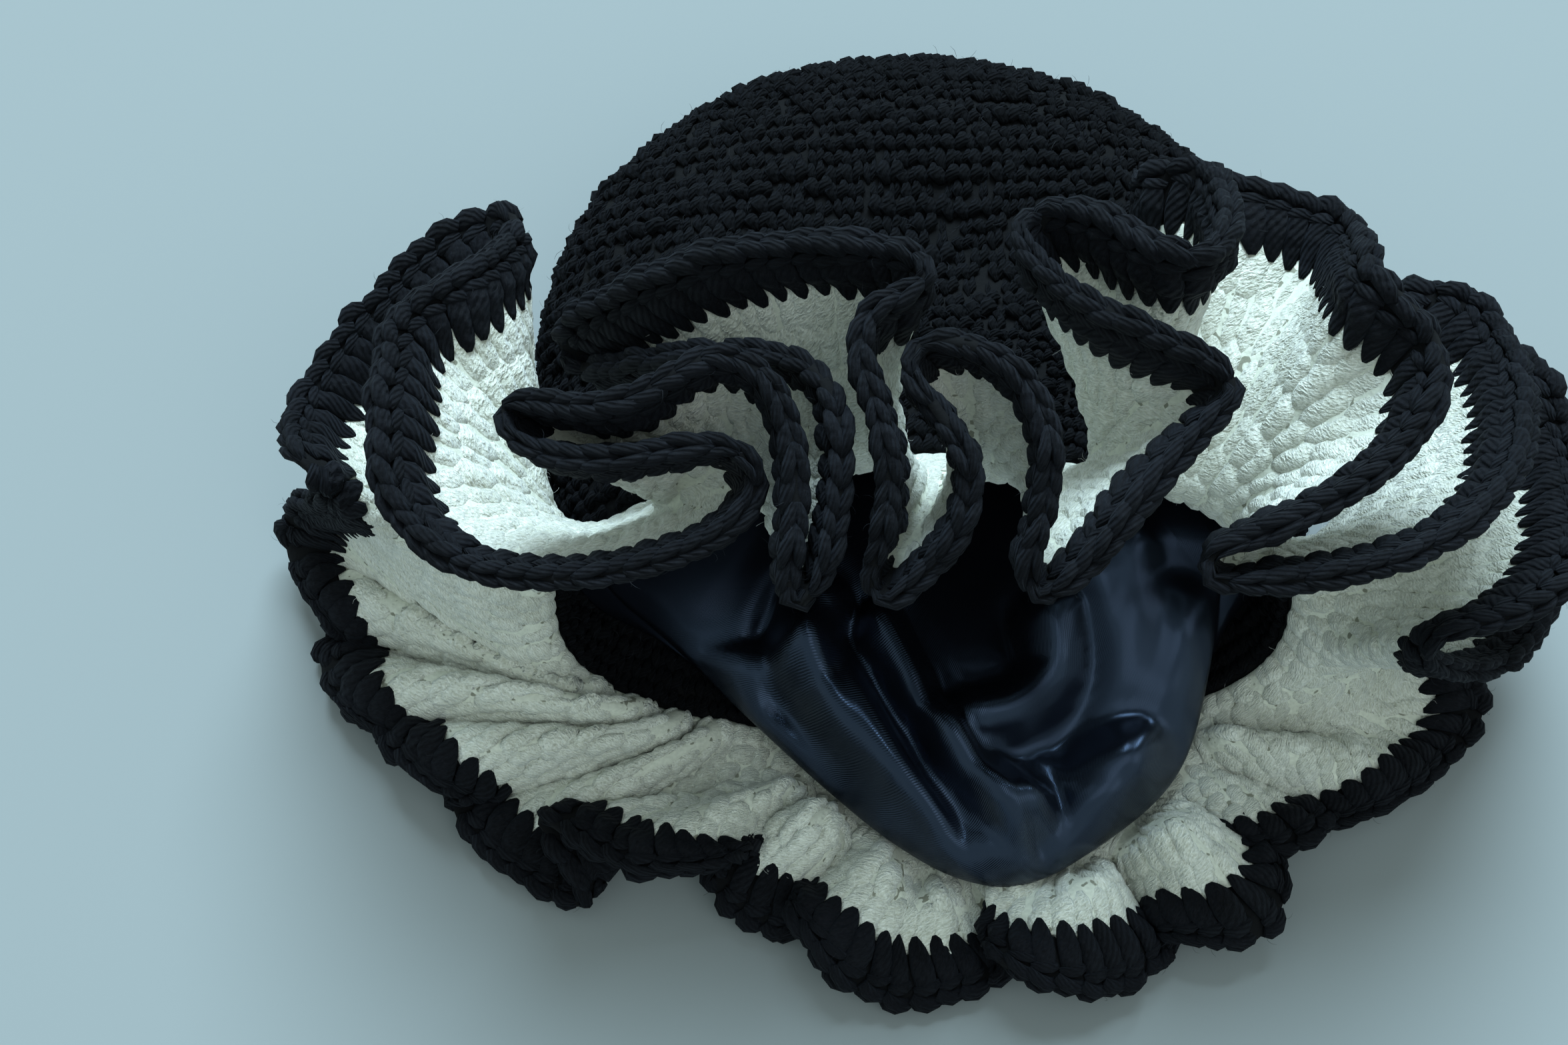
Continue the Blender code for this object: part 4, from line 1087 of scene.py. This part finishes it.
def make_fibre(name, points, radius):
    """A stray fibre, three-sided, in metres."""
    points = np.array(points)
    along = unit(np.gradient(points, axis=0))
    side = unit(np.cross(along, hair_side))
    up = np.cross(side, along)
    vertices = []
    faces = []
    for r, point in enumerate(points):
        last = r == len(points) - 1
        thin = radius * (hair_end if last else 1.0)
        for k in range(3):
            turn = 2 * math.pi * k / 3
            vertices.append(tuple(point + thin * (side[r] * math.cos(turn) + up[r] * math.sin(turn))))
            a, b = 3 * r + k, 3 * r + (k + 1) % 3
            if not last:
                faces.append((a, b, b + 3, a + 3))
    count = len(vertices)
    mesh = bpy.data.meshes.new(name)
    mesh.from_pydata(vertices, [], [(0, 2, 1), (count - 3, count - 2, count - 1), *faces])
    return placed(name, mesh)


def stitch_rows(form, first, last, rows, width, seed, unevenness):
    """Place, size and lean of each stitch, evenly spaced along its row and square to it."""
    chance = np.random.default_rng(seed)
    height = (last - first) / rows
    shares = np.append(form.shares, 1.0)
    found = []
    for row in range(rows):
        rise = first + row * height
        r = int(np.clip(np.argmin(np.abs(form.rises - rise - height / 2)), 1, len(form.rises) - 2))
        line = form.points[r]
        steps = round_steps(line)
        walked = running(steps) / steps.sum()
        rate = near_sum(steps) / near_sum(np.diff(shares))
        way = unit(np.roll(line, -3, axis=0) - np.roll(line, 3, axis=0))
        outward = (form.points[r + 1] - form.points[r - 1]) / (form.rises[r + 1] - form.rises[r - 1])
        lean = -(outward * way).sum(axis=1) / rate
        count = max(int(round(steps.sum() / width)), least_stitches)
        shift = chance.uniform()
        for k in range(count):
            place, up, wide, high = chance.normal(0, unevenness, 4)
            u = np.interp((k + shift + stray_across * place) / count % 1, walked, shares)
            c = min(int(np.searchsorted(shares, u, side="right")) - 1, len(line) - 1)
            v = rise + stray_up * height * up
            size = ((1 + wide) * steps.sum() / count / rate[c], height * (1 + stray_height * high),
                    1 + stray_thickness * wide)
            found.append(((u, v, 0.0), size, (lean[c], v, 0.0)))
    return found


def near_sum(values):
    """Sum of each value of a closed line and its two neighbours on either side."""
    return sum(np.roll(values, k) for k in range(-2, 3))


def feed(tree, made, inputs):
    """Links each input of a node to a socket, or sets it to a value."""
    for key, value in inputs.items():
        if isinstance(value, bpy.types.NodeSocket):
            tree.links.new(value, made.inputs[key])
        else:
            made.inputs[key].default_value = value


def node(tree, kind, inputs=(), **settings):
    """A new node with its settings and inputs."""
    made = tree.nodes.new(kind)
    for key, value in settings.items():
        setattr(made, key, value)
    feed(tree, made, dict(inputs))
    return made


def named(tree, label):
    """A named vector of the geometry."""
    return node(tree, "GeometryNodeInputNamedAttribute", {"Name": label},
                data_type="FLOAT_VECTOR").outputs["Attribute"]


def maths(tree, operation, *values):
    """The result of a sum, product or other operation on sockets and numbers."""
    return node(tree, "ShaderNodeMath", dict(enumerate(values)), operation=operation).outputs["Value"]


def product(tree, first, second):
    """The product of two sockets or numbers."""
    return maths(tree, "MULTIPLY", first, second)


def parts_of(tree, vector):
    """The X, Y and Z of a vector."""
    return node(tree, "ShaderNodeSeparateXYZ", {"Vector": vector}).outputs


def position_of(tree):
    """Where each point of the geometry lies."""
    return node(tree, "GeometryNodeInputPosition").outputs["Position"]


def geometry_tree(name, inputs):
    """A tree that takes a geometry and named inputs and gives a geometry, with what it is given."""
    tree = bpy.data.node_groups.new(name, "GeometryNodeTree")
    for label, kind in (("Geometry", "Geometry"), *inputs):
        tree.interface.new_socket(label, in_out="INPUT", socket_type="NodeSocket" + kind)
    tree.interface.new_socket("Geometry", in_out="OUTPUT", socket_type="NodeSocketGeometry")
    return tree, node(tree, "NodeGroupInput").outputs


def copies_of(tree, points, shape, rotation, size):
    """Real copies of an object's shape on points."""
    info = node(tree, "GeometryNodeObjectInfo", {"Object": shape}, transform_space="ORIGINAL")
    copies = node(tree, "GeometryNodeInstanceOnPoints", {
        "Points": points, "Instance": info.outputs["Geometry"], "Rotation": rotation, "Scale": size})
    return node(tree, "GeometryNodeRealizeInstances", {"Geometry": copies.outputs["Instances"]})


def finish_tree(tree, copies, place, floor, material):
    """Ends a tree: each point goes to its place, none below the floor, and the mesh takes a material."""
    at = parts_of(tree, place)
    lifted = node(tree, "ShaderNodeCombineXYZ", {
        "X": at["X"], "Y": at["Y"], "Z": maths(tree, "MAXIMUM", at["Z"], floor)})
    moved = node(tree, "GeometryNodeSetPosition", {
        "Geometry": copies.outputs["Geometry"], "Position": lifted.outputs["Vector"]})
    dressed = node(tree, "GeometryNodeSetMaterial", {
        "Geometry": moved.outputs["Geometry"], "Material": material})
    node(tree, "NodeGroupOutput", {"Geometry": dressed.outputs["Geometry"]})
    return tree


def stitch_tree():
    """Geometry nodes that lay copies of a stitch over a cloth's form, a copy for each point."""
    tree, given = geometry_tree("lay_stitches", (
        ("Stitch", "Object"), ("Form", "Object"), ("Floor", "Float"), ("Material", "Material")))
    form = node(tree, "GeometryNodeObjectInfo", {"Object": given["Form"]}, transform_space="ORIGINAL")
    turn = node(tree, "FunctionNodeEulerToRotation", {"Euler": named(tree, "turn")})
    real = copies_of(tree, given["Geometry"], given["Stitch"], turn.outputs["Rotation"], named(tree, "size"))
    at = parts_of(tree, position_of(tree))
    lean = parts_of(tree, named(tree, "lean"))
    climb = maths(tree, "SUBTRACT", at["Y"], lean["Y"])
    aside = maths(tree, "MULTIPLY_ADD", climb, lean["X"], at["X"])
    inside = node(tree, "ShaderNodeClamp", {"Value": at["Y"], "Min": grid_margin, "Max": 1 - grid_margin})
    place = node(tree, "ShaderNodeCombineXYZ", {
        "X": maths(tree, "FRACT", aside), "Y": inside.outputs["Result"]})

    def sampled(value):
        """A value of the form at a stitch's place on it."""
        return node(tree, "GeometryNodeSampleUVSurface", {
            "Mesh": form.outputs["Geometry"], "Value": value, "UV Map": named(tree, "UVMap"),
            "Sample UV": place.outputs["Vector"]}, data_type="FLOAT_VECTOR").outputs["Value"]

    total = sampled(position_of(tree))
    for label, way in (("over", 1.0), ("under", -1.0)):
        above = maths(tree, "MAXIMUM", product(tree, at["Z"], way), 0.0)
        step = node(tree, "ShaderNodeVectorMath", {"Vector": sampled(named(tree, label)), "Scale": above},
                    operation="SCALE")
        total = node(tree, "ShaderNodeVectorMath", {0: total, 1: step.outputs["Vector"]},
                     operation="ADD").outputs["Vector"]
    return finish_tree(tree, real, total, given["Floor"], given["Material"])


def fibre_tree():
    """Geometry nodes that scatter stray fibres over a crocheted piece."""
    tree, given = geometry_tree("scatter_fibres", (
        ("Fibre", "Object"), ("Density", "Float"), ("Seed", "Int"), ("Least Size", "Float"),
        ("Most Size", "Float"), ("Material", "Material")))
    spread = node(tree, "GeometryNodeDistributePointsOnFaces", {
        "Mesh": given["Geometry"], "Density": given["Density"], "Seed": given["Seed"]})
    spin = node(tree, "FunctionNodeRandomValue", data_type="FLOAT_VECTOR")
    feed(tree, spin, {"Min": (-hair_tilt, -hair_tilt, 0.0), "Max": (hair_tilt, hair_tilt, 2 * math.pi),
                      "Seed": given["Seed"]})
    turn = node(tree, "FunctionNodeEulerToRotation", {"Euler": spin.outputs["Value"]})
    both = node(tree, "FunctionNodeRotateRotation", {
        "Rotation": spread.outputs["Rotation"], "Rotate By": turn.outputs["Rotation"]},
        rotation_space="LOCAL")
    size = node(tree, "FunctionNodeRandomValue", data_type="FLOAT")
    feed(tree, size, {2: given["Least Size"], 3: given["Most Size"], "Seed": given["Seed"]})
    real = copies_of(tree, spread.outputs["Points"], given["Fibre"], both.outputs["Rotation"],
                     size.outputs["Value"])
    return finish_tree(tree, real, position_of(tree), fibre_floor, given["Material"])


def grown(name, mesh, tree, values):
    """The plain mesh that a tree makes from another, with the tree's inputs set by name."""
    carrier = placed(name, mesh)
    modifier = carrier.modifiers.new("grow", "NODES")
    modifier.node_group = tree
    for item in tree.interface.items_tree:
        if item.item_type == "SOCKET" and item.in_out == "INPUT" and item.name in values:
            modifier[item.identifier] = values[item.name]
    carrier.update_tag()
    graph = bpy.context.evaluated_depsgraph_get()
    made = bpy.data.meshes.new_from_object(carrier.evaluated_get(graph))
    made.name = name
    made.shade_smooth()
    bpy.data.objects.remove(carrier)
    return placed(name, made)


def lay_stitches(name, tree, stitch, form, found, material, turned=0):
    """Lays a stitch at each place found; the last ones, as many as turned, lie on the inner face."""
    places, sizes, leans = zip(*found)
    turns = [(0.0, math.pi if k >= len(found) - turned else 0.0, 0.0) for k in range(len(found))]
    mesh = bpy.data.meshes.new(name)
    mesh.from_pydata(places, [], [])
    for label, values in (("size", sizes), ("turn", turns), ("lean", leans)):
        add_vectors(mesh, label, np.array(values, dtype=float))
    return grown(name, mesh, tree, {"Stitch": stitch, "Form": form.guide, "Floor": floor_gap,
                                    "Material": material})


def with_alpha(colour):
    """A colour as four numbers."""
    return (*colour, 1.0)


def object_place(tree):
    """A material's place on the object."""
    return node(tree, "ShaderNodeTexCoord").outputs["Object"]


def noise(tree, place, scale, detail):
    """A soft noise at a place."""
    return node(tree, "ShaderNodeTexNoise", {
        "Vector": place, "Scale": scale, "Detail": detail}).outputs["Fac"]


def mixed(tree, share, first, second):
    """The colour that lies a share of the way from the first to the second."""
    return node(tree, "ShaderNodeMix", {0: share, 6: first, 7: second}, data_type="RGBA").outputs[2]


def ramp(tree, value, start, end, low=0.0, high=1.0, way="SMOOTHSTEP"):
    """A step from low to high while a value goes from start to end."""
    return node(tree, "ShaderNodeMapRange", {
        "Value": value, "From Min": start, "From Max": end, "To Min": low, "To Max": high},
        interpolation_type=way).outputs["Result"]


def raised(tree, height, strength, distance):
    """A normal that a height tilts."""
    return node(tree, "ShaderNodeBump", {
        "Height": height, "Strength": strength, "Distance": distance}).outputs["Normal"]


def yarn_group():
    """Plied yarn: colour that varies from place to place, and the height of its plies and fibres."""
    group = bpy.data.node_groups.new("plied_yarn", "ShaderNodeTree")
    for label, kind in (("Dark", "Color"), ("Light", "Color"), ("Plies", "Float"), ("Twist", "Float"),
                        ("Fibre Height", "Float")):
        group.interface.new_socket(label, in_out="INPUT", socket_type="NodeSocket" + kind)
    for label, kind in (("Color", "Color"), ("Height", "Float")):
        group.interface.new_socket(label, in_out="OUTPUT", socket_type="NodeSocket" + kind)
    given = node(group, "NodeGroupInput").outputs
    marks = parts_of(group, node(group, "ShaderNodeUVMap", uv_map="UVMap").outputs["UV"])
    place = object_place(group)
    spiral = maths(group, "ADD", product(group, marks["Y"], given["Plies"]),
                   product(group, marks["X"], given["Twist"]))
    wave = maths(group, "SINE", product(group, spiral, 2 * math.pi))
    lane = node(group, "ShaderNodeCombineXYZ", {
        "X": product(group, marks["X"], strand_along), "Y": product(group, spiral, strand_round)})
    strands = noise(group, lane.outputs["Vector"], *strand_noise)
    fibre = maths(group, "ADD", product(group, strands, coarse_height),
                  product(group, noise(group, place, *fibre_noise), fine_height))
    height = maths(group, "ADD", product(group, wave, ply_height),
                   product(group, fibre, given["Fibre Height"]))
    height = maths(group, "ADD", height, product(group, noise(group, place, *lump_noise), lump_height))
    tone = maths(group, "ADD", product(group, noise(group, place, *patch_noise), patch_tone),
                 product(group, strands, strand_tone))
    tone = product(group, maths(group, "ADD", tone, -tone_middle), tone_contrast)
    node(group, "NodeGroupOutput", {
        "Color": mixed(group, tone, given["Dark"], given["Light"]), "Height": height})
    return group


def new_material(name):
    """A material with its tree and its main shader."""
    material = bpy.data.materials.new(name)
    material.use_nodes = True
    return material, material.node_tree, material.node_tree.nodes["Principled BSDF"]


def yarn_material(name, group):
    """Crocheted yarn, from its row of yarn_looks."""
    dark, light, plies, twist, fibre, roughness, sheen, tint = yarn_looks[name]
    material, tree, shader = new_material(name)
    yarn = node(tree, "ShaderNodeGroup", node_tree=group)
    feed(tree, yarn, {"Dark": with_alpha(dark), "Light": with_alpha(light), "Plies": plies, "Twist": twist,
                      "Fibre Height": fibre})
    feed(tree, shader, {
        "Base Color": yarn.outputs["Color"], "Roughness": roughness, "Specular IOR Level": yarn_specular,
        "Normal": raised(tree, yarn.outputs["Height"], 1.0, yarn_relief), "Sheen Weight": sheen,
        "Sheen Roughness": sheen_roughness, "Sheen Tint": with_alpha(tint)})
    return material


def plain_material(name, colour, roughness, grain, relief, hole_shade=None):
    """A matt surface with a fine grain, with painted shade in small holes where a colour for that shade is
    given.
    """
    material, tree, shader = new_material(name)
    place = object_place(tree)
    fine = noise(tree, place, *grain)
    tone = mixed(tree, fine, with_alpha([(1 - core_contrast) * c for c in colour]),
                 with_alpha([min((1 + core_contrast) * c, 1.0) for c in colour]))
    if hole_shade:
        # Painted shade: small dark spots that stand for the shadow in holes between the stitches
        mask = ramp(tree, noise(tree, place, *hole_shade_noise), *hole_shade_range, way="LINEAR")
        tone = mixed(tree, mask, tone, with_alpha(hole_shade))
    feed(tree, shader, {"Base Color": tone, "Normal": raised(tree, fine, relief, core_height),
                        "Roughness": roughness, "Specular IOR Level": core_specular})
    return material


def satin_material():
    """Charcoal satin with a fine twill and soft bluish lights, its gloss turned down by painted shade where
    it lies in the hollow.
    """
    material, tree, shader = new_material("lining_satin")
    marks = parts_of(tree, node(tree, "ShaderNodeUVMap", uv_map="UVMap").outputs["UV"])
    diagonal = product(tree, maths(tree, "ADD", marks["X"], marks["Y"]), 2 * math.pi * twill_lines)
    place = object_place(tree)
    at = parts_of(tree, place)
    # Painted shade: the gloss is turned down towards the back of the mouth, low down, at its left end and in
    # the hollow, where shadow falls
    front = ramp(tree, at["Y"], satin_shade_front, satin_shade_back, 1.0, satin_shade_gloss)
    lit = maths(tree, "MAXIMUM", front, ramp(tree, at["Z"], satin_shade_height, satin_lit_height))
    lit = product(tree, lit, ramp(tree, at["X"], satin_shade_left, satin_lit_left, satin_shade_gloss))
    aside = maths(tree, "ABSOLUTE", maths(tree, "ADD", at["X"], -hollow_middle))
    hollow = product(tree, ramp(tree, aside, hollow_half_width, hollow_core * hollow_half_width),
                     ramp(tree, at["Y"], hollow_front - hollow_fade, hollow_front))
    lit = product(tree, lit, maths(tree, "SUBTRACT", 1.0, product(tree, hollow, hollow_shade_strength)))
    colour = mixed(tree, noise(tree, place, *satin_noise), with_alpha(satin_dark), with_alpha(satin_light))
    feed(tree, shader, {
        "Base Color": colour, "Roughness": satin_roughness, "Specular Tint": with_alpha(satin_tint),
        "Normal": raised(tree, maths(tree, "SINE", diagonal), twill_strength, twill_height),
        "Specular IOR Level": product(tree, lit, satin_gloss)})
    return material


def fold_height(places):
    """Height of the satin's folds over points of its plan."""
    total = np.zeros(places.shape[:-1])
    scale = np.array((spill_half_width, -spill_length))
    for _, high, wide, way in satin_folds:
        line = smooth_line(np.array(way) * scale, fold_samples)
        near = np.full(places.shape[:-1], np.inf)
        for a, b in zip(line, line[1:]):
            step = b - a
            t = np.clip(((places - a) @ step) / (step @ step), 0, 1)
            near = np.minimum(near, np.linalg.norm(places - (a + t[..., None] * step), axis=-1))
        near /= wide * spill_length
        crest = (1 + near) * np.exp(-near) - fold_valley * np.exp(-((near - valley_place) ** 2))
        total += high * spill_crest * crest
    return total


def make_lining_cloth(ruffle, shift):
    """The satin: the bag in the crown, and its front pulled out in folds over the brim."""
    over = math.pi * (0.5 - 0.5 * np.cos(np.linspace(0, math.pi, lining_over, endpoint=False)))
    over = 0.5 * over + 0.5 * np.linspace(0, math.pi, lining_over, endpoint=False)
    under = math.pi + np.linspace(0, math.pi, lining_under, endpoint=False)
    angles = np.concatenate((over, under))
    grid = np.array([lining_column(ruffle, angle) for angle in angles]).transpose(1, 0, 2)
    for row in grid[1:]:
        round_off(row, lining_softening)
    spilled = np.array([1 - smooth_step(math.sin(a) / spill_ends) for a in angles])
    counts = np.array([lining_over_split] * lining_over + [lining_under_split] * lining_under)
    places = np.linspace(0, len(grid) - 1, lining_places)
    fine = smooth_rows(smooth_columns(grid, counts), places)
    shown = np.clip((places - folds_from) / folds_grow, 0, 1)
    shown *= np.clip((len(grid) - folds_to - places) / folds_shrink, 0, 1)
    share = even_columns(np.tile(spilled, (2, 1)), counts)[0]
    fine[:, :, 2] += fold_height(fine[:, :, :2]) * shown[:, None] * share[None, :]
    half = lining_half_share * lining_wall * surface_normals(fine)
    piece = bag_mesh("lining_cloth", fine + shift + half, fine + shift - half, True, satin_material())
    rows, columns = fine.shape[:2]
    corners = np.array([loop.vertex_index for loop in piece.data.loops]) % (rows * columns)
    flat = np.stack(((corners % columns) / columns * satin_round,
                     (corners // columns) / rows * satin_out), axis=1)
    piece.data.uv_layers.new(name="UVMap").data.foreach_set("uv", flat.ravel())
    return piece


def make_floor():
    """The table top."""
    material, tree, shader = new_material("floor")
    feed(tree, shader, {
        "Base Color": with_alpha(floor_colour), "Roughness": floor_roughness,
        "Specular IOR Level": floor_specular})
    mesh = bpy.data.meshes.new("floor")
    corners = [(x * floor_reach, y * floor_reach, 0) for x, y in ((-1, -1), (1, -1), (1, 1), (-1, 1))]
    mesh.from_pydata(corners, [], [(0, 1, 2, 3)])
    mesh.materials.append(material)
    placed("floor", mesh)


def aim(thing, place, way):
    """Puts a light or camera at a place, looking along a way."""
    thing.location = place
    thing.rotation_mode = "QUATERNION"
    thing.rotation_quaternion = Vector(way).to_track_quat("-Z", "Y")


def make_lights():
    """A window high behind the hat, a weak light of the room, and the sky."""
    for name, place, size, power, colour in lamps:
        light = bpy.data.lights.new(name, "AREA")
        light.shape = "DISK"
        light.size = size
        light.energy = power
        light.color = colour
        aim(placed(name, light), place, Vector(lamp_target) - Vector(place))
    world = bpy.data.worlds.new("room_light")
    world.use_nodes = True
    feed(world.node_tree, world.node_tree.nodes["Background"], {
        "Color": with_alpha(sky_colour), "Strength": sky_strength})
    bpy.context.scene.world = world
    bpy.context.scene.view_settings.view_transform = "Standard"


def make_camera(shift):
    """The photograph's view: from steeply above, level, into the mouth of the hat."""
    data = bpy.data.cameras.new("camera")
    data.lens = camera_lens
    data.sensor_width = camera_sensor
    camera = placed("camera", data)
    aim(camera, Vector(camera_place) + Vector(shift), -out_axis)
    bpy.context.scene.camera = camera


def make_brim(form, reach, laid, yarn):
    """The white brim: its solid middle, and its stitches as an inner and an outer piece."""
    seam = brim_seam / reach
    # The core's darker spots are painted shade in the holes between the stitches
    core = plain_material("brim_core", brim_core_colour, core_roughness, core_noise, core_relief,
                          brim_hole_shade_colour)
    cloth = core_cloth("brim_cloth", form, 0.0, seam + 1e-6, brim_core_share, False, core)
    post = make_stitch("post", brim_post, brim_stitch, brim_row)
    white = yarn_material("brim_yarn", yarn)
    rows = int(round(brim_seam * brim_length / brim_row))
    split = seam * (rows - outer_rows) / rows
    stitches = []
    for name, first, last, count, seed in (
            ("inner_stitches", brim_laid_from, split, rows - outer_rows, 3),
            ("outer_stitches", split, seam, outer_rows, 4)):
        found = stitch_rows(form, first, last, count, brim_stitch, seed, brim_unevenness)
        stitches.append(lay_stitches(name, laid, post, form, found, white))
    bpy.data.objects.remove(post)
    return cloth, stitches


def make_edging(form, reach, laid, yarn, core):
    """The dark border along the brim's edge."""
    start = edging_seam / reach
    cloth = core_cloth("edging_cloth", form, start - 1e-6, 1.0 / reach, core_share, False, core)
    face = edging_leg + edging_bar + edging_arm
    border = make_stitch("border", face + mirrored(face), edging_stitch, edging_width)
    found = stitch_rows(form, start, 1 / reach, 1, edging_stitch, 5, edging_unevenness)
    black = yarn_material("edging_yarn", yarn)
    stitches = lay_stitches("edging_stitches", laid, border, form, found, black)
    bpy.data.objects.remove(border)
    return cloth, stitches


def make_crown(form, meridian, laid, yarn, core):
    """The black crown, with stitches outside and on the band inside the mouth."""
    cloth = core_cloth("crown_cloth", form, 0.0, 1.0, core_share, True, core)
    vee = make_stitch("vee", crown_arms, crown_stitch, crown_stitch)
    rows = int(meridian / crown_stitch)
    outside = stitch_rows(form, 0.0, crown_laid_to, rows, crown_stitch, 8, crown_unevenness)
    rows = int(band_depth / crown_stitch)
    band = rows * crown_stitch / meridian
    inside = stitch_rows(form, 0.0, band, rows, crown_stitch, 9, band_unevenness)
    black = yarn_material("crown_yarn", yarn)
    stitches = lay_stitches("crown_stitches", laid, vee, form, outside + inside, black, len(inside))
    bpy.data.objects.remove(vee)
    return cloth, stitches


def make_fibres(sources):
    """Stray fibres over each crocheted piece."""
    looks = {name: plain_material(name, colour, roughness, hair_noise, 0.0)
             for name, (colour, roughness) in fibre_looks.items()}
    scatter = fibre_tree()
    hair = make_fibre("hair", hair_points, hair_radius)
    fibres = []
    for source, (name, density, seed, low, high, kind) in zip(sources, stray_fibres):
        fibres.append(grown(name, source.data.copy(), scatter, {
            "Fibre": hair, "Density": density, "Seed": seed, "Least Size": low, "Most Size": high,
            "Material": looks[kind]}))
    bpy.data.objects.remove(hair)
    return fibres


def main():
    """Makes the whole scene, and says what each piece rides on and replaces."""
    shift = centre_shift()
    make_camera(shift)
    make_lights()
    make_floor()
    ruffle = Ruffle()
    brim_form, reach = ruffle_form(ruffle, shift)
    dome_form, meridian = crown_form(shift)
    yarn = yarn_group()
    laid = stitch_tree()
    black_core = plain_material("dark_core", dark_core_colour, core_roughness, core_noise, core_relief)
    brim_cloth, brim_stitches = make_brim(brim_form, reach, laid, yarn)
    edging_cloth, edging_stitches = make_edging(brim_form, reach, laid, yarn, black_core)
    crown_cloth, crown_stitches = make_crown(dome_form, meridian, laid, yarn, black_core)
    lining = make_lining_cloth(ruffle, shift)
    *brim_fibres, edging_fibres, crown_fibres = make_fibres(
        [*brim_stitches, edging_stitches, crown_stitches])
    for form in (brim_form, dome_form):
        bpy.data.objects.remove(form.guide)

    groups = (
        (crown_cloth, "crown", "crown_yarn", (crown_stitches, crown_fibres)),
        (brim_cloth, "brim", "brim_yarn", (*brim_stitches, *brim_fibres)),
        (edging_cloth, "brim_edging", "edging_yarn", (edging_stitches, edging_fibres)),
        (lining, "lining", "lining_satin", ()),
    )
    for cloth, part_name, slot, extras in groups:
        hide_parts(part_name)
        for piece in (cloth, *extras):
            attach(piece, "root")


main()
